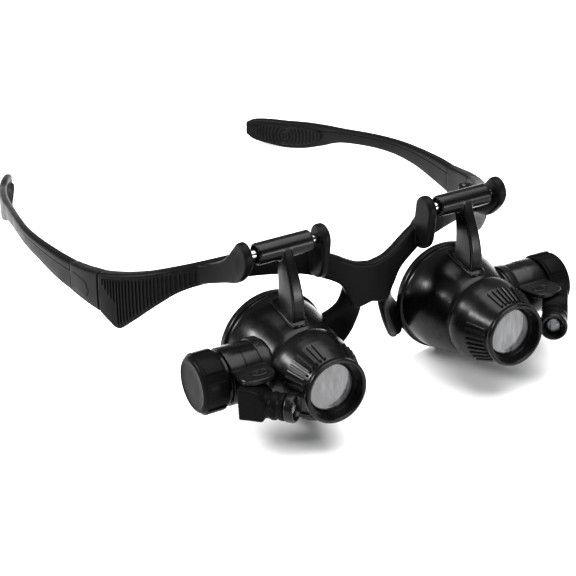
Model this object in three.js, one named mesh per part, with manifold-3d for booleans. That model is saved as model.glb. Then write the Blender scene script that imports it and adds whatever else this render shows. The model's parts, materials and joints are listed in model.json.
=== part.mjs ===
// Head-worn magnifier: a half-rim spectacle frame that carries two flip-up loupes,
// each with its own battery tube and swivelling lamp.
//
// Millimetres, +Z up, the wearer looks along -Y and +X is the right-hand side as
// seen from in front.  Every piece of one side is designed for +X and mirrored for -X.
// While the pieces are designed, z = 0 is the top of the ears that hold the hinge rods
// and y = 0 is the rods' axis; the finished group is then moved to stand on z = 0.

import * as THREE from 'three';
import { mergeVertices } from 'three/addons/utils/BufferGeometryUtils.js';
import Module from 'manifold-3d';

const wasm = await Module();
wasm.setup();

// ---------------------------------------------------------------------------------
// Driving dimensions
// ---------------------------------------------------------------------------------
const GAP = 0.3;                 // clearance between neighbouring pieces

// loupe placing: the centre of the eye cup's rim, and the tilt of the optical axis
const LOUPE_X = 31.2;            // half the distance between the two optical axes
const LOUPE_Y = 7.8;
const LOUPE_Z = -40.8;
const LOUPE_TILT = THREE.MathUtils.degToRad(-6.8);

// hinge rod, ears and sleeve
const ROD_Z = -4.5;
const ROD_R = 1.5;
const EAR_INNER = [17.0, 19.8];  // x range of the ear beside the nose
const EAR_OUTER = [42.6, 45.4];  // x range of the ear beside the temple
const EAR_R = 4.2;
const EAR_HOLE_DEPTH = 2.0;
const EAR_HOLE_R = 1.7;
const SLEEVE_R = 3.3;
const SLEEVE_BORE_R = 2.6;
const SLEEVE_LENGTH = 18;
const BUSH_R = [1.7, 2.4];       // inner and outer radius of the friction bush
const BUSH_LENGTH = 16;
const ARM_WIDTH = 4;

// eye cup, along the optical axis: 0 is the rim, negative is towards the lens
const CUP_WALL = 1.6;
const CUP_FRONT = -22.3;
const CUP_BORE_R = 10.5;
const CUP_OUTLINE = [            // radius, station
  [16.6, 0], [17.5, -0.9], [17.5, -2.6], [16.7, -3.4], [16.6, -6],
  [16.0, -10], [15.1, -14], [14.0, -18], [12.9, -21.2], [12.0, CUP_FRONT],
];

// lens holder, lens and its retainer
const HOLDER_BACK = -19.8;
const HOLDER_FRONT = -40;
const HOLDER_BORE_R = 8.9;
const APERTURE_R = 7.6;
const HOLDER_R = 13.1;            // at the shoulder, next to the eye cup
const FLANGE_R = 9.9;
const RIBS_PER_GROUP = 5;
const RIB_PITCH = THREE.MathUtils.degToRad(8.5);
const RIB_LENGTH = 7.6;
const RIB_AT = [-33.3, 10.95];     // station and radius of a rib's middle
const LENS_R = 8.6;
const LENS_EDGE = [-36.0, -34.5];
const LENS_SAG = 1.0;
const RETAINER = [-33.9, -32.2];  // stations of the ring behind the lens

// battery tube: its axis runs along X, through this station of the optical axis
const TUBE_Y = -15.0;
const TUBE_Z = 1.6;
const TUBE_R = 8.75;
const TUBE_NECK_R = 7.5;
const TUBE_BORE_R = 6.1;
const TUBE_SHOULDER_X = 24.2;
const TUBE_NECK_X = 29.6;
const TUBE_FLOOR_X = 17.8;
const CAP_X = [25.6, 33.6];
const CAP_R = 9.25;
const CAP_LAND = 0.55;            // how far the grip segments stand proud
const CAP_FLOOR_X = 31.4;
const CAP_SKIRT_X = 30.0;        // where the cap's bore steps down to the tube's
const CAP_SEGMENTS = 6;
const CAP_SEGMENT_HALF = THREE.MathUtils.degToRad(19);
const CELL_R = 5.8;
const CELL_THICKNESS = 3.05;
const FIRST_CELL_X = 20.4;
const CELL_CAP_R = 4.6;          // the negative side of a button cell
const SPRING_R = [4.6, 2.6];     // wide end, narrow end
const SPRING_TURNS = 2.25;
const SPRING_WIRE_R = 0.22;
const CONTACT_R = 5.0;
const CONTACT_X = [30.6, 31.1];

// lamp
const PLATE_Z = [4.9, 6.4];
const KNUCKLE = new THREE.Vector3(22.2, -29.8, -1.0);
const KNUCKLE_Z = [-4.8, 4.6];
const KNUCKLE_WIDTH = 7.8;
const KNUCKLE_BACK = -2.9;       // behind the pivot, along the lamp's axis
const LAMP_TURN = THREE.MathUtils.degToRad(40);   // how far the lamp is turned inward
const POST_R = 1.4;              // pivot post under the bracket plate
const POST_FOOT_Z = -2.4;
const SCREW_R = 1.8;
const SCREW_Z = [-4.5, -3.9];
const LAMP_R = 3.7;
const HOOD_R = 4.3;
const HOOD = [10.9, 13.6];       // along the lamp axis, from the knuckle's centre
const LED_R = 2.5;
const LED_CENTRE = 10.5;         // middle of the LED's dome along the lamp's axis
const SWITCH = new THREE.Vector2(18.0, -27.6);
const SWITCH_SLOT = [4.4, 1.8];

// temple hinge
const HINGE_X = 65.6;
const HINGE_Y = 46.2;
const HINGE_PIN_R = 0.8;
const HINGE_HOLE_R = 1.0;
const HINGE_BARREL_R = 1.9;
const HINGE_Z = [-37.0, -33.8, -30.2, -27.0];    // lower lug, middle knuckle, upper lug
const HINGE_CUT_Z = [-50, -10];  // height of the cuts that clear the barrels

// ---------------------------------------------------------------------------------
// Solids
// ---------------------------------------------------------------------------------
function toManifold(geometry) {
  const bare = geometry.clone();
  bare.deleteAttribute('normal');
  bare.deleteAttribute('uv');
  const merged = mergeVertices(bare, 1e-4);
  const source = merged.index.array;
  const corners = [];
  for (let i = 0; i < source.length; i += 3) {
    const [a, b, c] = [source[i], source[i + 1], source[i + 2]];
    if (a !== b && b !== c && c !== a) corners.push(a, b, c);
  }
  return new wasm.Manifold(new wasm.Mesh({
    numProp: 3,
    vertProperties: new Float32Array(merged.attributes.position.array),
    triVerts: new Uint32Array(corners),
  }));
}

function toGeometry(manifold) {
  const mesh = manifold.getMesh();
  const geometry = new THREE.BufferGeometry();
  geometry.setAttribute('position', new THREE.BufferAttribute(mesh.vertProperties, 3));
  geometry.setIndex(new THREE.BufferAttribute(mesh.triVerts, 1));
  return geometry;
}

function join(first, ...others) {
  return toGeometry(others.reduce((sum, next) => sum.add(toManifold(next)), toManifold(first)));
}

function cut(first, ...others) {
  return toGeometry(others.reduce((left, next) => left.subtract(toManifold(next)), toManifold(first)));
}

function flipFaces(geometry) {
  const index = geometry.index.array;
  for (let i = 0; i < index.length; i += 3) {
    [index[i + 1], index[i + 2]] = [index[i + 2], index[i + 1]];
  }
  return geometry;
}

function mirrored(geometry) {
  return flipFaces(join(geometry).scale(-1, 1, 1));
}

function signedVolume(geometry) {
  const p = geometry.attributes.position;
  const index = geometry.index.array;
  const [a, b, c] = [new THREE.Vector3(), new THREE.Vector3(), new THREE.Vector3()];
  let volume = 0;
  for (let i = 0; i < index.length; i += 3) {
    a.fromBufferAttribute(p, index[i]);
    b.fromBufferAttribute(p, index[i + 1]);
    c.fromBufferAttribute(p, index[i + 2]);
    volume += a.dot(b.cross(c)) / 6;
  }
  return volume;
}

// a skin over rings of points, closed by a fan at each end
function loft(rings) {
  const count = rings[0].length;
  const positions = rings.flat().flatMap((point) => [point.x, point.y, point.z]);
  const index = [];
  for (let r = 0; r + 1 < rings.length; r += 1) {
    for (let i = 0; i < count; i += 1) {
      const a = r * count + i;
      const b = r * count + (i + 1) % count;
      index.push(a, b, b + count, a, b + count, a + count);
    }
  }
  const last = (rings.length - 1) * count;
  for (let i = 1; i + 1 < count; i += 1) {
    index.push(0, i + 1, i);
    index.push(last, last + i, last + i + 1);
  }
  const geometry = new THREE.BufferGeometry();
  geometry.setAttribute('position', new THREE.Float32BufferAttribute(positions, 3));
  geometry.setIndex(index);
  return signedVolume(geometry) < 0 ? flipFaces(geometry) : geometry;
}

// a turned solid about the local Y axis; the profile is a closed loop of [radius, y]
function turned(profile, segments = 36) {
  const points = [...profile, profile[0]].map(([radius, y]) => new THREE.Vector2(radius, y));
  const geometry = new THREE.LatheGeometry(points, segments);
  return signedVolume(geometry) < 0 ? flipFaces(geometry) : geometry;
}

// the same about an axis along X, through (y, z)
function turnedAlongX(profile, y, z, segments = 36) {
  return turned(profile, segments).rotateZ(-Math.PI / 2).translate(0, y, z);
}

// a round bar between two stations of an axis
function bar(radius, from, to, segments = 24) {
  return new THREE.CylinderGeometry(radius, radius, to - from, segments).translate(0, (from + to) / 2, 0);
}

function barAlongX(radius, from, to, y, z, segments = 24) {
  return bar(radius, from, to, segments).rotateZ(-Math.PI / 2).translate(0, y, z);
}

function barAlongZ(radius, from, to, x, y, segments = 24) {
  return bar(radius, from, to, segments).rotateX(Math.PI / 2).translate(x, y, 0);
}

function box(x, y, z) {
  return new THREE.BoxGeometry(x[1] - x[0], y[1] - y[0], z[1] - z[0])
    .translate((x[0] + x[1]) / 2, (y[0] + y[1]) / 2, (z[0] + z[1]) / 2);
}

// an outline in X and Y, raised between two heights
function plate(outline, z, curveSegments = 8) {
  return new THREE.ExtrudeGeometry(outline, { depth: z[1] - z[0], bevelEnabled: false, curveSegments })
    .translate(0, 0, z[0]);
}

// an outline in Y and Z, raised between two x values
function plateAcrossX(outline, x, curveSegments = 8) {
  return new THREE.ExtrudeGeometry(outline, { depth: x[1] - x[0], bevelEnabled: false, curveSegments })
    .rotateX(Math.PI / 2).rotateZ(Math.PI / 2).translate(x[0], 0, 0);
}

// A band that stands on edge and follows a path seen from above.  Each station gives the
// path's x and y, the band's top and bottom, and its thickness, which lies to the left
// of the path (towards the wearer's head).
function pathOf(stations) {
  const outer = new THREE.CatmullRomCurve3(stations.map(([x, y]) => new THREE.Vector3(x, y, 0)));
  const sizes = new THREE.CatmullRomCurve3(stations.map((s) => new THREE.Vector3(s[2], s[3], s[4])));
  return (t) => {
    const tangent = outer.getTangent(t);
    return {
      point: outer.getPoint(t),
      inward: new THREE.Vector3(-tangent.y, tangent.x, 0).normalize(),
      size: sizes.getPoint(t),
    };
  };
}

function band(stations, steps, chamfer) {
  const at = pathOf(stations);
  const rings = [];
  for (let i = 0; i <= steps; i += 1) {
    const { point, inward, size } = at(i / steps);
    const [top, bottom, depth] = [size.x, size.y, size.z];
    const c = Math.min(chamfer, depth / 3, (top - bottom) / 3);
    const section = [
      [c, top], [depth - c, top], [depth, top - c], [depth, bottom + c],
      [depth - c, bottom], [c, bottom], [0, bottom + c], [0, top - c],
    ];
    rings.push(section.map(([into, z]) => point.clone().addScaledVector(inward, into).setZ(z)));
  }
  return loft(rings);
}

// ---------------------------------------------------------------------------------
// Materials
// ---------------------------------------------------------------------------------
function material(color, roughness, metalness = 0, extra = {}) {
  return new THREE.MeshStandardMaterial({ color, roughness, metalness, ...extra });
}

const framePlastic = material(0x17171a, 0.42);
const loupePlastic = material(0x121214, 0.32);
const softGrip = material(0x1c1c1e, 0.7);
const bushPlastic = material(0x0d0d0e, 0.6);
const chrome = material(0xd4d6da, 0.15, 1);
const steel = material(0xa9acb2, 0.3, 1);
const brass = material(0xc9a55a, 0.35, 1);
const glass = material(0xdfe6ea, 0.05, 0, { transparent: true, opacity: 0.35 });

// ---------------------------------------------------------------------------------
// Spectacle frame
// ---------------------------------------------------------------------------------
// brow bar from the middle of the bridge to the hinge: x, y, top, bottom, thickness
const BROW = [
  [0, -0.2, -18.1, -31.6, 3.4],
  [3.2, -0.1, -17.6, -32.4, 3.4],
  [5.8, 0.0, -16.8, -32.2, 3.4],
  [8, 0.3, -15.8, -28.2, 3.4],
  [10.8, 0.9, -14.4, -23.4, 3.4],
  [16.4, 2.8, -12.0, -20.4, 3.2],
  [22, 4.8, -10.7, -18.6, 3.2],
  [31, 7.6, -10.3, -17.7, 3.2],
  [40, 11.6, -10.8, -18.4, 3.2],
  [49.5, 17.2, -13.6, -21.0, 3.2],
  [55, 21.3, -15.6, -24.1, 3.3],
  [59.3, 25.2, -17.4, -28.4, 3.4],
  [62.6, 29.2, -19.1, -32.8, 3.6],
  [65.5, 33.8, -20.8, -37.6, 3.8],
  [67.8, 38.2, -22.3, -41.4, 4.0],
  [69.4, 41.6, -23.3, -40.0, 4.1],
  [70.7, 45.4, -24.3, -38.0, 4.2],
];

// outer ear: swept forward from the bar to the end of the rod
const EAR_SWEEP = [
  [45.4, -4.0, -3.4, -5.6, 2.8],
  [45.4, -3.0, -1.5, -8.0, 2.8],
  [45.4, -1.4, -0.3, -10.2, 2.8],
  [45.4, 0.2, 0.0, -12.0, 2.8],
  [45.4, 2.0, -0.5, -13.6, 2.8],
  [45.6, 4.0, -3.0, -14.8, 2.8],
  [46.4, 8.0, -8.2, -16.4, 2.8],
  [48.0, 13.0, -12.0, -18.6, 2.8],
  [50.5, 18.4, -14.3, -20.8, 2.8],
];

// nose blade: height, then the front, middle and rear of its mid-surface, and thickness
const NOSE_BLADE = [
  [-22, 4.0, 1.6, 5.8, 2.0, 7.6, 2.8, 2.2],
  [-30, 3.4, 1.6, 6.2, 2.8, 8.6, 4.6, 2.2],
  [-34, 3.8, 1.7, 7.2, 4.2, 10.4, 6.6, 2.1],
  [-38, 5.0, 2.0, 9.0, 7.1, 13.2, 9.8, 2.0],
  [-42, 6.6, 2.6, 10.4, 9.3, 16.0, 10.8, 1.9],
  [-46, 8.6, 4.0, 12.0, 9.5, 17.2, 10.5, 1.8],
  [-50, 11.2, 6.2, 14.0, 9.1, 17.4, 9.6, 1.6],
  [-52.3, 13.8, 7.8, 15.4, 8.8, 17.0, 9.2, 1.1],
];

function noseBlade() {
  const rings = NOSE_BLADE.map(([z, frontX, frontY, middleX, middleY, rearX, rearY, thickness]) => {
    const spine = [[frontX, frontY], [middleX, middleY], [rearX, rearY]]
      .map(([x, y]) => new THREE.Vector3(x, y, z));
    const [front, middle, rear] = spine;
    const ahead = middle.clone().sub(front).normalize();
    const behind = rear.clone().sub(middle).normalize();
    const along = [ahead, ahead.clone().add(behind).normalize(), behind];
    const outward = along.map((way) => new THREE.Vector3(way.y, -way.x, 0));
    const side = (sign) => spine.map((point, i) => (
      point.clone().addScaledVector(outward[i], (sign * thickness) / 2)));
    const nose = front.clone().addScaledVector(ahead, -thickness / 3);
    const tail = rear.clone().addScaledVector(behind, thickness / 3);
    return [nose, ...side(1), tail, ...side(-1).reverse()];
  });
  return loft(rings);
}

// inner ear: a tongue that hangs from the rod down to the bar
function innerEar() {
  const shape = new THREE.Shape();
  shape.absarc(0, ROD_Z, EAR_R, 0, Math.PI, false);
  shape.lineTo(-3.4, -13.6);
  shape.quadraticCurveTo(-2.6, -17.6, 1.6, -18.3);
  shape.lineTo(6.4, -17.8);
  shape.lineTo(6.6, -11.5);
  shape.quadraticCurveTo(4.3, -9.5, EAR_R, ROD_Z);
  return plateAcrossX(shape, EAR_INNER, 4);
}

// one barrel of the temple hinge, with the web that ties it to the piece in front of
// the pin (way -1) or behind it (way 1)
function hingeBarrel(z, way) {
  const web = way < 0 ? [HINGE_Y - 4, HINGE_Y - 0.2] : [HINGE_Y + 0.2, HINGE_Y + 4];
  return join(
    barAlongZ(HINGE_BARREL_R, z[0], z[1], HINGE_X, HINGE_Y, 16),
    box([HINGE_X, HINGE_X + 3], web, z),
  );
}

function frontFrame() {
  const [lower, middleLow, middleHigh, upper] = HINGE_Z;
  const hingeRelief = barAlongZ(HINGE_BARREL_R + GAP, ...HINGE_CUT_Z, HINGE_X, HINGE_Y, 20);
  const half = join(
    cut(band(BROW, 30, 0.7), hingeRelief),
    band(EAR_SWEEP, 12, 0.6),
    innerEar(),
    noseBlade(),
    hingeBarrel([lower, middleLow - GAP / 2], -1),
    hingeBarrel([middleHigh + GAP / 2, upper], -1),
  );
  const drilled = cut(
    half,
    barAlongX(EAR_HOLE_R, EAR_INNER[1] - EAR_HOLE_DEPTH, EAR_OUTER[0] + EAR_HOLE_DEPTH, 0, ROD_Z, 16),
    barAlongZ(HINGE_HOLE_R, ...HINGE_CUT_Z, HINGE_X, HINGE_Y, 12),
    box([-1, 0], [-10, 20], [-60, 0]),
  );
  return join(drilled, mirrored(drilled));
}

// ---------------------------------------------------------------------------------
// Temple: hinge block, arm and tip pad
// ---------------------------------------------------------------------------------
const BLOCK = [
  [70.8, 45.8, -24.4, -37.9, 4.2],
  [71.9, 51, -25.5, -37.8, 4.1],
  [72.6, 56, -26.6, -37.8, 3.9],
  [73.1, 61.5, -27.7, -38.0, 3.6],
];

const TEMPLE = [
  [73.1, 61.9, -27.8, -38.0, 3.5],
  [74.2, 72, -29.0, -38.1, 3.3],
  [74.8, 86, -30.9, -37.9, 3.0],
  [74.2, 100, -33.0, -38.8, 2.8],
  [72.1, 114, -35.5, -40.9, 2.7],
  [69.0, 130, -38.9, -44.9, 2.7],
  [66.9, 141, -41.1, -50.0, 2.8],
  [64.2, 151, -43.2, -54.3, 2.9],
  [61.0, 160, -45.3, -56.7, 2.9],
  [57.2, 168, -47.5, -56.9, 2.8],
  [53.8, 174.2, -49.6, -55.8, 2.6],
  [51.9, 177.2, -51.2, -54.4, 2.2],
];
const PAD_LENGTH = [0.54, 0.89];   // start and end of the tip pad along the temple
const PAD_HEIGHT = 8.4;
const PAD_PROUD = 1.3;

function hingeBlock() {
  const [, middleLow, middleHigh] = HINGE_Z;
  const relief = barAlongZ(HINGE_BARREL_R + GAP, ...HINGE_CUT_Z, HINGE_X, HINGE_Y, 20);
  return cut(
    join(
      cut(band(BLOCK, 6, 0.7), relief),
      hingeBarrel([middleLow + GAP / 2, middleHigh - GAP / 2], 1),
    ),
    barAlongZ(HINGE_HOLE_R, ...HINGE_CUT_Z, HINGE_X, HINGE_Y, 12),
  );
}

function templeArm() {
  const arm = band(TEMPLE, 30, 0.8);
  const { point, inward, size } = pathOf(TEMPLE)(0.72);
  const middle = (size.x + size.y) / 2;
  const stop = box([-0.6, 0.9], [-4, 4], [-0.9, 0.9])
    .rotateZ(Math.atan2(-inward.x, inward.y) + Math.PI / 2)
    .translate(point.x, point.y, middle);
  return join(arm, stop);
}

// the ribbed oval on the inner face of the temple tip
function tipPad() {
  const at = pathOf(TEMPLE);
  const rings = [];
  const steps = 12;
  for (let i = 0; i <= steps; i += 1) {
    const share = i / steps;
    const { point, inward, size } = at(THREE.MathUtils.lerp(...PAD_LENGTH, share));
    const half = Math.max(0.35, (PAD_HEIGHT / 2) * Math.sqrt(1 - (2 * share - 1) ** 2));
    const middle = (size.x + size.y) / 2;
    const face = size.z + 0.12;
    const edge = Math.min(0.5, half / 2);
    const section = [
      [face, half], [face + PAD_PROUD * 0.6, half], [face + PAD_PROUD, half - edge],
      [face + PAD_PROUD, edge - half], [face + PAD_PROUD * 0.6, -half], [face, -half],
    ];
    rings.push(section.map(([into, z]) => (
      point.clone().addScaledVector(inward, into).setZ(middle + z))));
  }
  return loft(rings);
}

// ---------------------------------------------------------------------------------
// Rod, bush, sleeve and arm.  From here on the coordinates are the loupe's own: the
// origin is the rim's centre, -Y is the way the lens looks and Z is up.
// ---------------------------------------------------------------------------------
const rodOffset = new THREE.Vector3(0, -LOUPE_Y, ROD_Z - LOUPE_Z)
  .applyAxisAngle(new THREE.Vector3(1, 0, 0), -LOUPE_TILT);
const ROD_AT = [rodOffset.y, rodOffset.z];

function ring(inner, outer, from, to) {
  return [[inner, from], [outer, from], [outer, to], [inner, to]];
}

function cupEnvelope(clearance) {
  const outline = CUP_OUTLINE.map(([radius, y]) => [radius + clearance, y]);
  const behindRim = [outline[1][0], 1];
  const holderR = HOLDER_R + clearance;
  return turned([[0, 1], behindRim, ...outline.slice(1), [holderR, CUP_FRONT],
    [holderR, HOLDER_FRONT], [0, HOLDER_FRONT]], 48);
}

function sleeveArm() {
  const [y, z] = ROD_AT;
  const shape = new THREE.Shape();
  shape.moveTo(y + 2.2, z);
  shape.quadraticCurveTo(y - 0.2, 25.5, y + 1.4, 19.5);
  shape.lineTo(y + 4.2, 14.2);
  shape.lineTo(y - 7.4, 12.0);
  shape.lineTo(y - 7.8, 15.5);
  shape.quadraticCurveTo(y - 9.4, 27.0, y - 3.0, z);
  const arm = plateAcrossX(shape, [-ARM_WIDTH / 2, ARM_WIDTH / 2], 10);
  const sleeve = barAlongX(SLEEVE_R, -SLEEVE_LENGTH / 2, SLEEVE_LENGTH / 2, y, z, 28);
  return cut(
    join(arm, sleeve),
    barAlongX(SLEEVE_BORE_R, -SLEEVE_LENGTH, SLEEVE_LENGTH, y, z, 24),
    cupEnvelope(GAP),
  );
}

function frictionBush() {
  return turnedAlongX(ring(...BUSH_R, -BUSH_LENGTH / 2, BUSH_LENGTH / 2), ...ROD_AT, 20);
}

// ---------------------------------------------------------------------------------
// Eye cup and lens holder
// ---------------------------------------------------------------------------------
function eyeCup() {
  const inside = CUP_OUTLINE.slice(3, -1).reverse().map(([radius, y]) => [radius - CUP_WALL, y]);
  return turned([
    ...CUP_OUTLINE,
    [CUP_BORE_R, CUP_FRONT],
    [CUP_BORE_R, CUP_FRONT + CUP_WALL],
    ...inside.filter(([, y]) => y > CUP_FRONT + CUP_WALL),
    [15.6, -1.0],
    [16.0, 0],
  ], 32);
}

function lensHolder() {
  const shoulder = CUP_FRONT - GAP;
  const body = turned([
    [HOLDER_BORE_R, HOLDER_BACK], [CUP_BORE_R - GAP, HOLDER_BACK], [CUP_BORE_R - GAP, shoulder],
    [HOLDER_R - 0.5, shoulder], [HOLDER_R, shoulder - 0.7], [HOLDER_R, -25.0], [12.7, -27.4], [12.1, -29.8],
    [11.2, -32.4], [10.2, -35.0], [9.3, -37.4], [FLANGE_R, -38.2], [FLANGE_R, -39.6],
    [FLANGE_R - 0.4, HOLDER_FRONT],
    [8.9, HOLDER_FRONT], [APERTURE_R, -37.0], [APERTURE_R, -36.3], [HOLDER_BORE_R, -36.3],
  ], 30);
  const slope = Math.atan2(12.1 - 9.3, 37.4 - 29.8);   // of the barrel under the ribs
  const ribs = [];
  for (let group = 0; group < 4; group += 1) {
    for (let i = 0; i < RIBS_PER_GROUP; i += 1) {
      const turn = Math.PI / 4 + (group * Math.PI) / 2 + (i - (RIBS_PER_GROUP - 1) / 2) * RIB_PITCH;
      ribs.push(box([-0.4, 0.4], [-RIB_LENGTH / 2, RIB_LENGTH / 2], [-0.6, 0.5])
        .rotateX(slope)
        .translate(0, ...RIB_AT)
        .rotateY(turn));
    }
  }
  return join(body, ...ribs);
}

function lens() {
  const [front, back] = LENS_EDGE;
  const face = (edge, way) => {
    const points = [];
    for (let i = 0; i <= 3; i += 1) {
      const radius = (LENS_R * i) / 3;
      points.push([radius, edge + way * LENS_SAG * (1 - (radius / LENS_R) ** 2)]);
    }
    return points;
  };
  return turned([...face(front, -1), ...face(back, 1).reverse()], 24);
}

function lensRetainer() {
  return turned(ring(APERTURE_R, LENS_R, ...RETAINER), 24);
}

// ---------------------------------------------------------------------------------
// Battery tube, cap and what is inside
// ---------------------------------------------------------------------------------
function batteryHousing() {
  const tube = turnedAlongX([
    [0, 8], [TUBE_R, 8], [TUBE_R, TUBE_SHOULDER_X], [TUBE_NECK_R, TUBE_SHOULDER_X],
    [TUBE_NECK_R, TUBE_NECK_X], [TUBE_BORE_R, TUBE_NECK_X], [TUBE_BORE_R, TUBE_FLOOR_X],
    [0, TUBE_FLOOR_X],
  ], TUBE_Y, TUBE_Z);
  return cut(tube, cupEnvelope(GAP));
}

function batteryCap() {
  const [from, to] = CAP_X;
  const body = turnedAlongX([
    [TUBE_NECK_R + GAP, from], [CAP_R - CAP_LAND, from], [CAP_R - CAP_LAND, to - 0.9],
    [CAP_R - CAP_LAND - 0.9, to], [0, to], [0, CAP_FLOOR_X], [TUBE_BORE_R, CAP_FLOOR_X],
    [TUBE_BORE_R, CAP_SKIRT_X], [TUBE_NECK_R + GAP, CAP_SKIRT_X],
  ], TUBE_Y, TUBE_Z);
  const segments = [];
  for (let i = 0; i < CAP_SEGMENTS; i += 1) {
    const shape = new THREE.Shape();
    shape.absarc(0, 0, CAP_R, -CAP_SEGMENT_HALF, CAP_SEGMENT_HALF, false);
    shape.absarc(0, 0, CAP_R - CAP_LAND - 0.4, CAP_SEGMENT_HALF, -CAP_SEGMENT_HALF, true);
    const depth = to - from - 1.9;
    segments.push(new THREE.ExtrudeGeometry(shape, { depth, bevelEnabled: false, curveSegments: 3 })
      .rotateZ((i * 2 * Math.PI) / CAP_SEGMENTS + Math.PI / 6)
      .rotateY(Math.PI / 2)
      .translate(from + 0.3, TUBE_Y, TUBE_Z));
  }
  return join(body, ...segments);
}

function buttonCell(number) {
  const from = FIRST_CELL_X + number * (CELL_THICKNESS + GAP);
  const to = from + CELL_THICKNESS;
  return turnedAlongX([
    [0, from], [CELL_CAP_R, from], [CELL_CAP_R, from + 0.4], [CELL_R, from + 0.6], [CELL_R, to],
    [0, to],
  ], TUBE_Y, TUBE_Z, 18);
}

function batterySpring() {
  const [from, to] = [TUBE_FLOOR_X + 0.5, FIRST_CELL_X - 0.5];
  class Cone extends THREE.Curve {
    getPoint(t, target = new THREE.Vector3()) {
      const angle = 2 * Math.PI * SPRING_TURNS * t;
      const radius = THREE.MathUtils.lerp(...SPRING_R, t);
      return target.set(THREE.MathUtils.lerp(from, to, t),
        TUBE_Y + radius * Math.cos(angle), TUBE_Z + radius * Math.sin(angle));
    }
  }
  const wire = new THREE.Shape();
  wire.absarc(0, 0, SPRING_WIRE_R, 0, 2 * Math.PI, false);
  return new THREE.ExtrudeGeometry(wire, { steps: 24, curveSegments: 3, extrudePath: new Cone() });
}

function batteryContact() {
  return barAlongX(CONTACT_R, ...CONTACT_X, TUBE_Y, TUBE_Z, 18);
}

// ---------------------------------------------------------------------------------
// Lamp: bracket plate with the switch, knuckle with its barrel, hood and LED
// ---------------------------------------------------------------------------------
function lampBracket() {
  const shape = new THREE.Shape();
  shape.moveTo(13.5, -21.0);
  shape.lineTo(23.6, -21.0);
  shape.lineTo(24.4, -28.2);
  shape.quadraticCurveTo(24.4, -31.0, 21.4, -31.6);
  shape.quadraticCurveTo(18.4, -32.4, 15.8, -31.4);
  shape.lineTo(13.5, -28.4);
  const [length, width] = SWITCH_SLOT;
  const slot = box([SWITCH.x - length / 2, SWITCH.x + length / 2],
    [SWITCH.y - width / 2, SWITCH.y + width / 2], [PLATE_Z[0] + 0.5, PLATE_Z[1] + 1]);
  return cut(
    join(plate(shape, PLATE_Z), barAlongZ(POST_R, POST_FOOT_Z, PLATE_Z[0] + 0.5, KNUCKLE.x, KNUCKLE.y, 16)),
    slot,
    barAlongX(TUBE_R + GAP, 5, 30, TUBE_Y, TUBE_Z, 36),
    barAlongX(CAP_R + GAP, CAP_X[0] - GAP, 40, TUBE_Y, TUBE_Z, 36),
    cupEnvelope(GAP),
  );
}

function switchSlider() {
  const across = [SWITCH.y - 0.65, SWITCH.y + 0.65];
  const top = PLATE_Z[1] + 0.5;
  return join(
    box([SWITCH.x - 1.0, SWITCH.x + 1.0], across, [PLATE_Z[0] + 0.7, top]),
    box([SWITCH.x - 0.3, SWITCH.x + 0.3], across, [top - 0.3, top + 0.3]),
  );
}

// from the lamp's own axis (+Y forward from the knuckle's centre) to the loupe's frame
function alongLamp(geometry) {
  return geometry.rotateZ(Math.PI - LAMP_TURN).translate(KNUCKLE.x, KNUCKLE.y, KNUCKLE.z);
}

function lampKnuckle() {
  const [low, high] = KNUCKLE_Z.map((z) => z - KNUCKLE.z);
  const side = new THREE.Shape();       // drawn in the lamp's forward direction and height
  side.moveTo(KNUCKLE_BACK, low);
  side.lineTo(4.6, low);
  side.lineTo(5.4, -0.4);
  side.quadraticCurveTo(4.8, high - 0.4, 0.6, high);
  side.lineTo(KNUCKLE_BACK, high);
  const elbow = alongLamp(plateAcrossX(side, [-KNUCKLE_WIDTH / 2, KNUCKLE_WIDTH / 2], 6));
  const barrel = alongLamp(turned([
    [0, 0], [LAMP_R, 0], [LAMP_R, 6.4], [LAMP_R + 0.4, 6.6], [LAMP_R + 0.4, 7.8], [LAMP_R, 8.0],
    [LAMP_R, 9.0], [LAMP_R + 0.3, 9.2], [LAMP_R + 0.3, 10.6], [2.9, 10.6], [2.9, 8.2], [0, 8.2],
  ], 20));
  return cut(
    join(elbow, barrel),
    barAlongZ(POST_R + GAP, POST_FOOT_Z - 0.4, 10, KNUCKLE.x, KNUCKLE.y, 12),
    barAlongZ(1.15, -9, 9, KNUCKLE.x, KNUCKLE.y, 12),
    barAlongZ(SCREW_R + GAP, -9, SCREW_Z[1] + GAP, KNUCKLE.x, KNUCKLE.y, 12),
  );
}

function pivotScrew() {
  return barAlongZ(SCREW_R, ...SCREW_Z, KNUCKLE.x, KNUCKLE.y, 12);
}

function lampHood() {
  const [from, to] = HOOD;
  return alongLamp(turned([
    [2.9, from], [HOOD_R - 0.2, from], [HOOD_R, from + 0.4], [HOOD_R, to - 0.5], [HOOD_R - 0.4, to],
    [3.4, to], [2.9, to - 1.4],
  ], 20));
}

function led() {
  const dome = [];
  for (let i = 0; i <= 4; i += 1) {
    const angle = (i / 4) * (Math.PI / 2);
    dome.push([LED_R * Math.cos(angle), LED_CENTRE + LED_R * Math.sin(angle)]);
  }
  const foot = LED_CENTRE - 2.0;
  return alongLamp(turned([[0, foot], [LED_R, foot], ...dome], 14));
}

// ---------------------------------------------------------------------------------
// Assembly
// ---------------------------------------------------------------------------------
const model = new THREE.Group();

function add(parent, name, geometry, finish) {
  const mesh = new THREE.Mesh(geometry, finish);
  mesh.name = name;
  parent.add(mesh);
}

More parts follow.
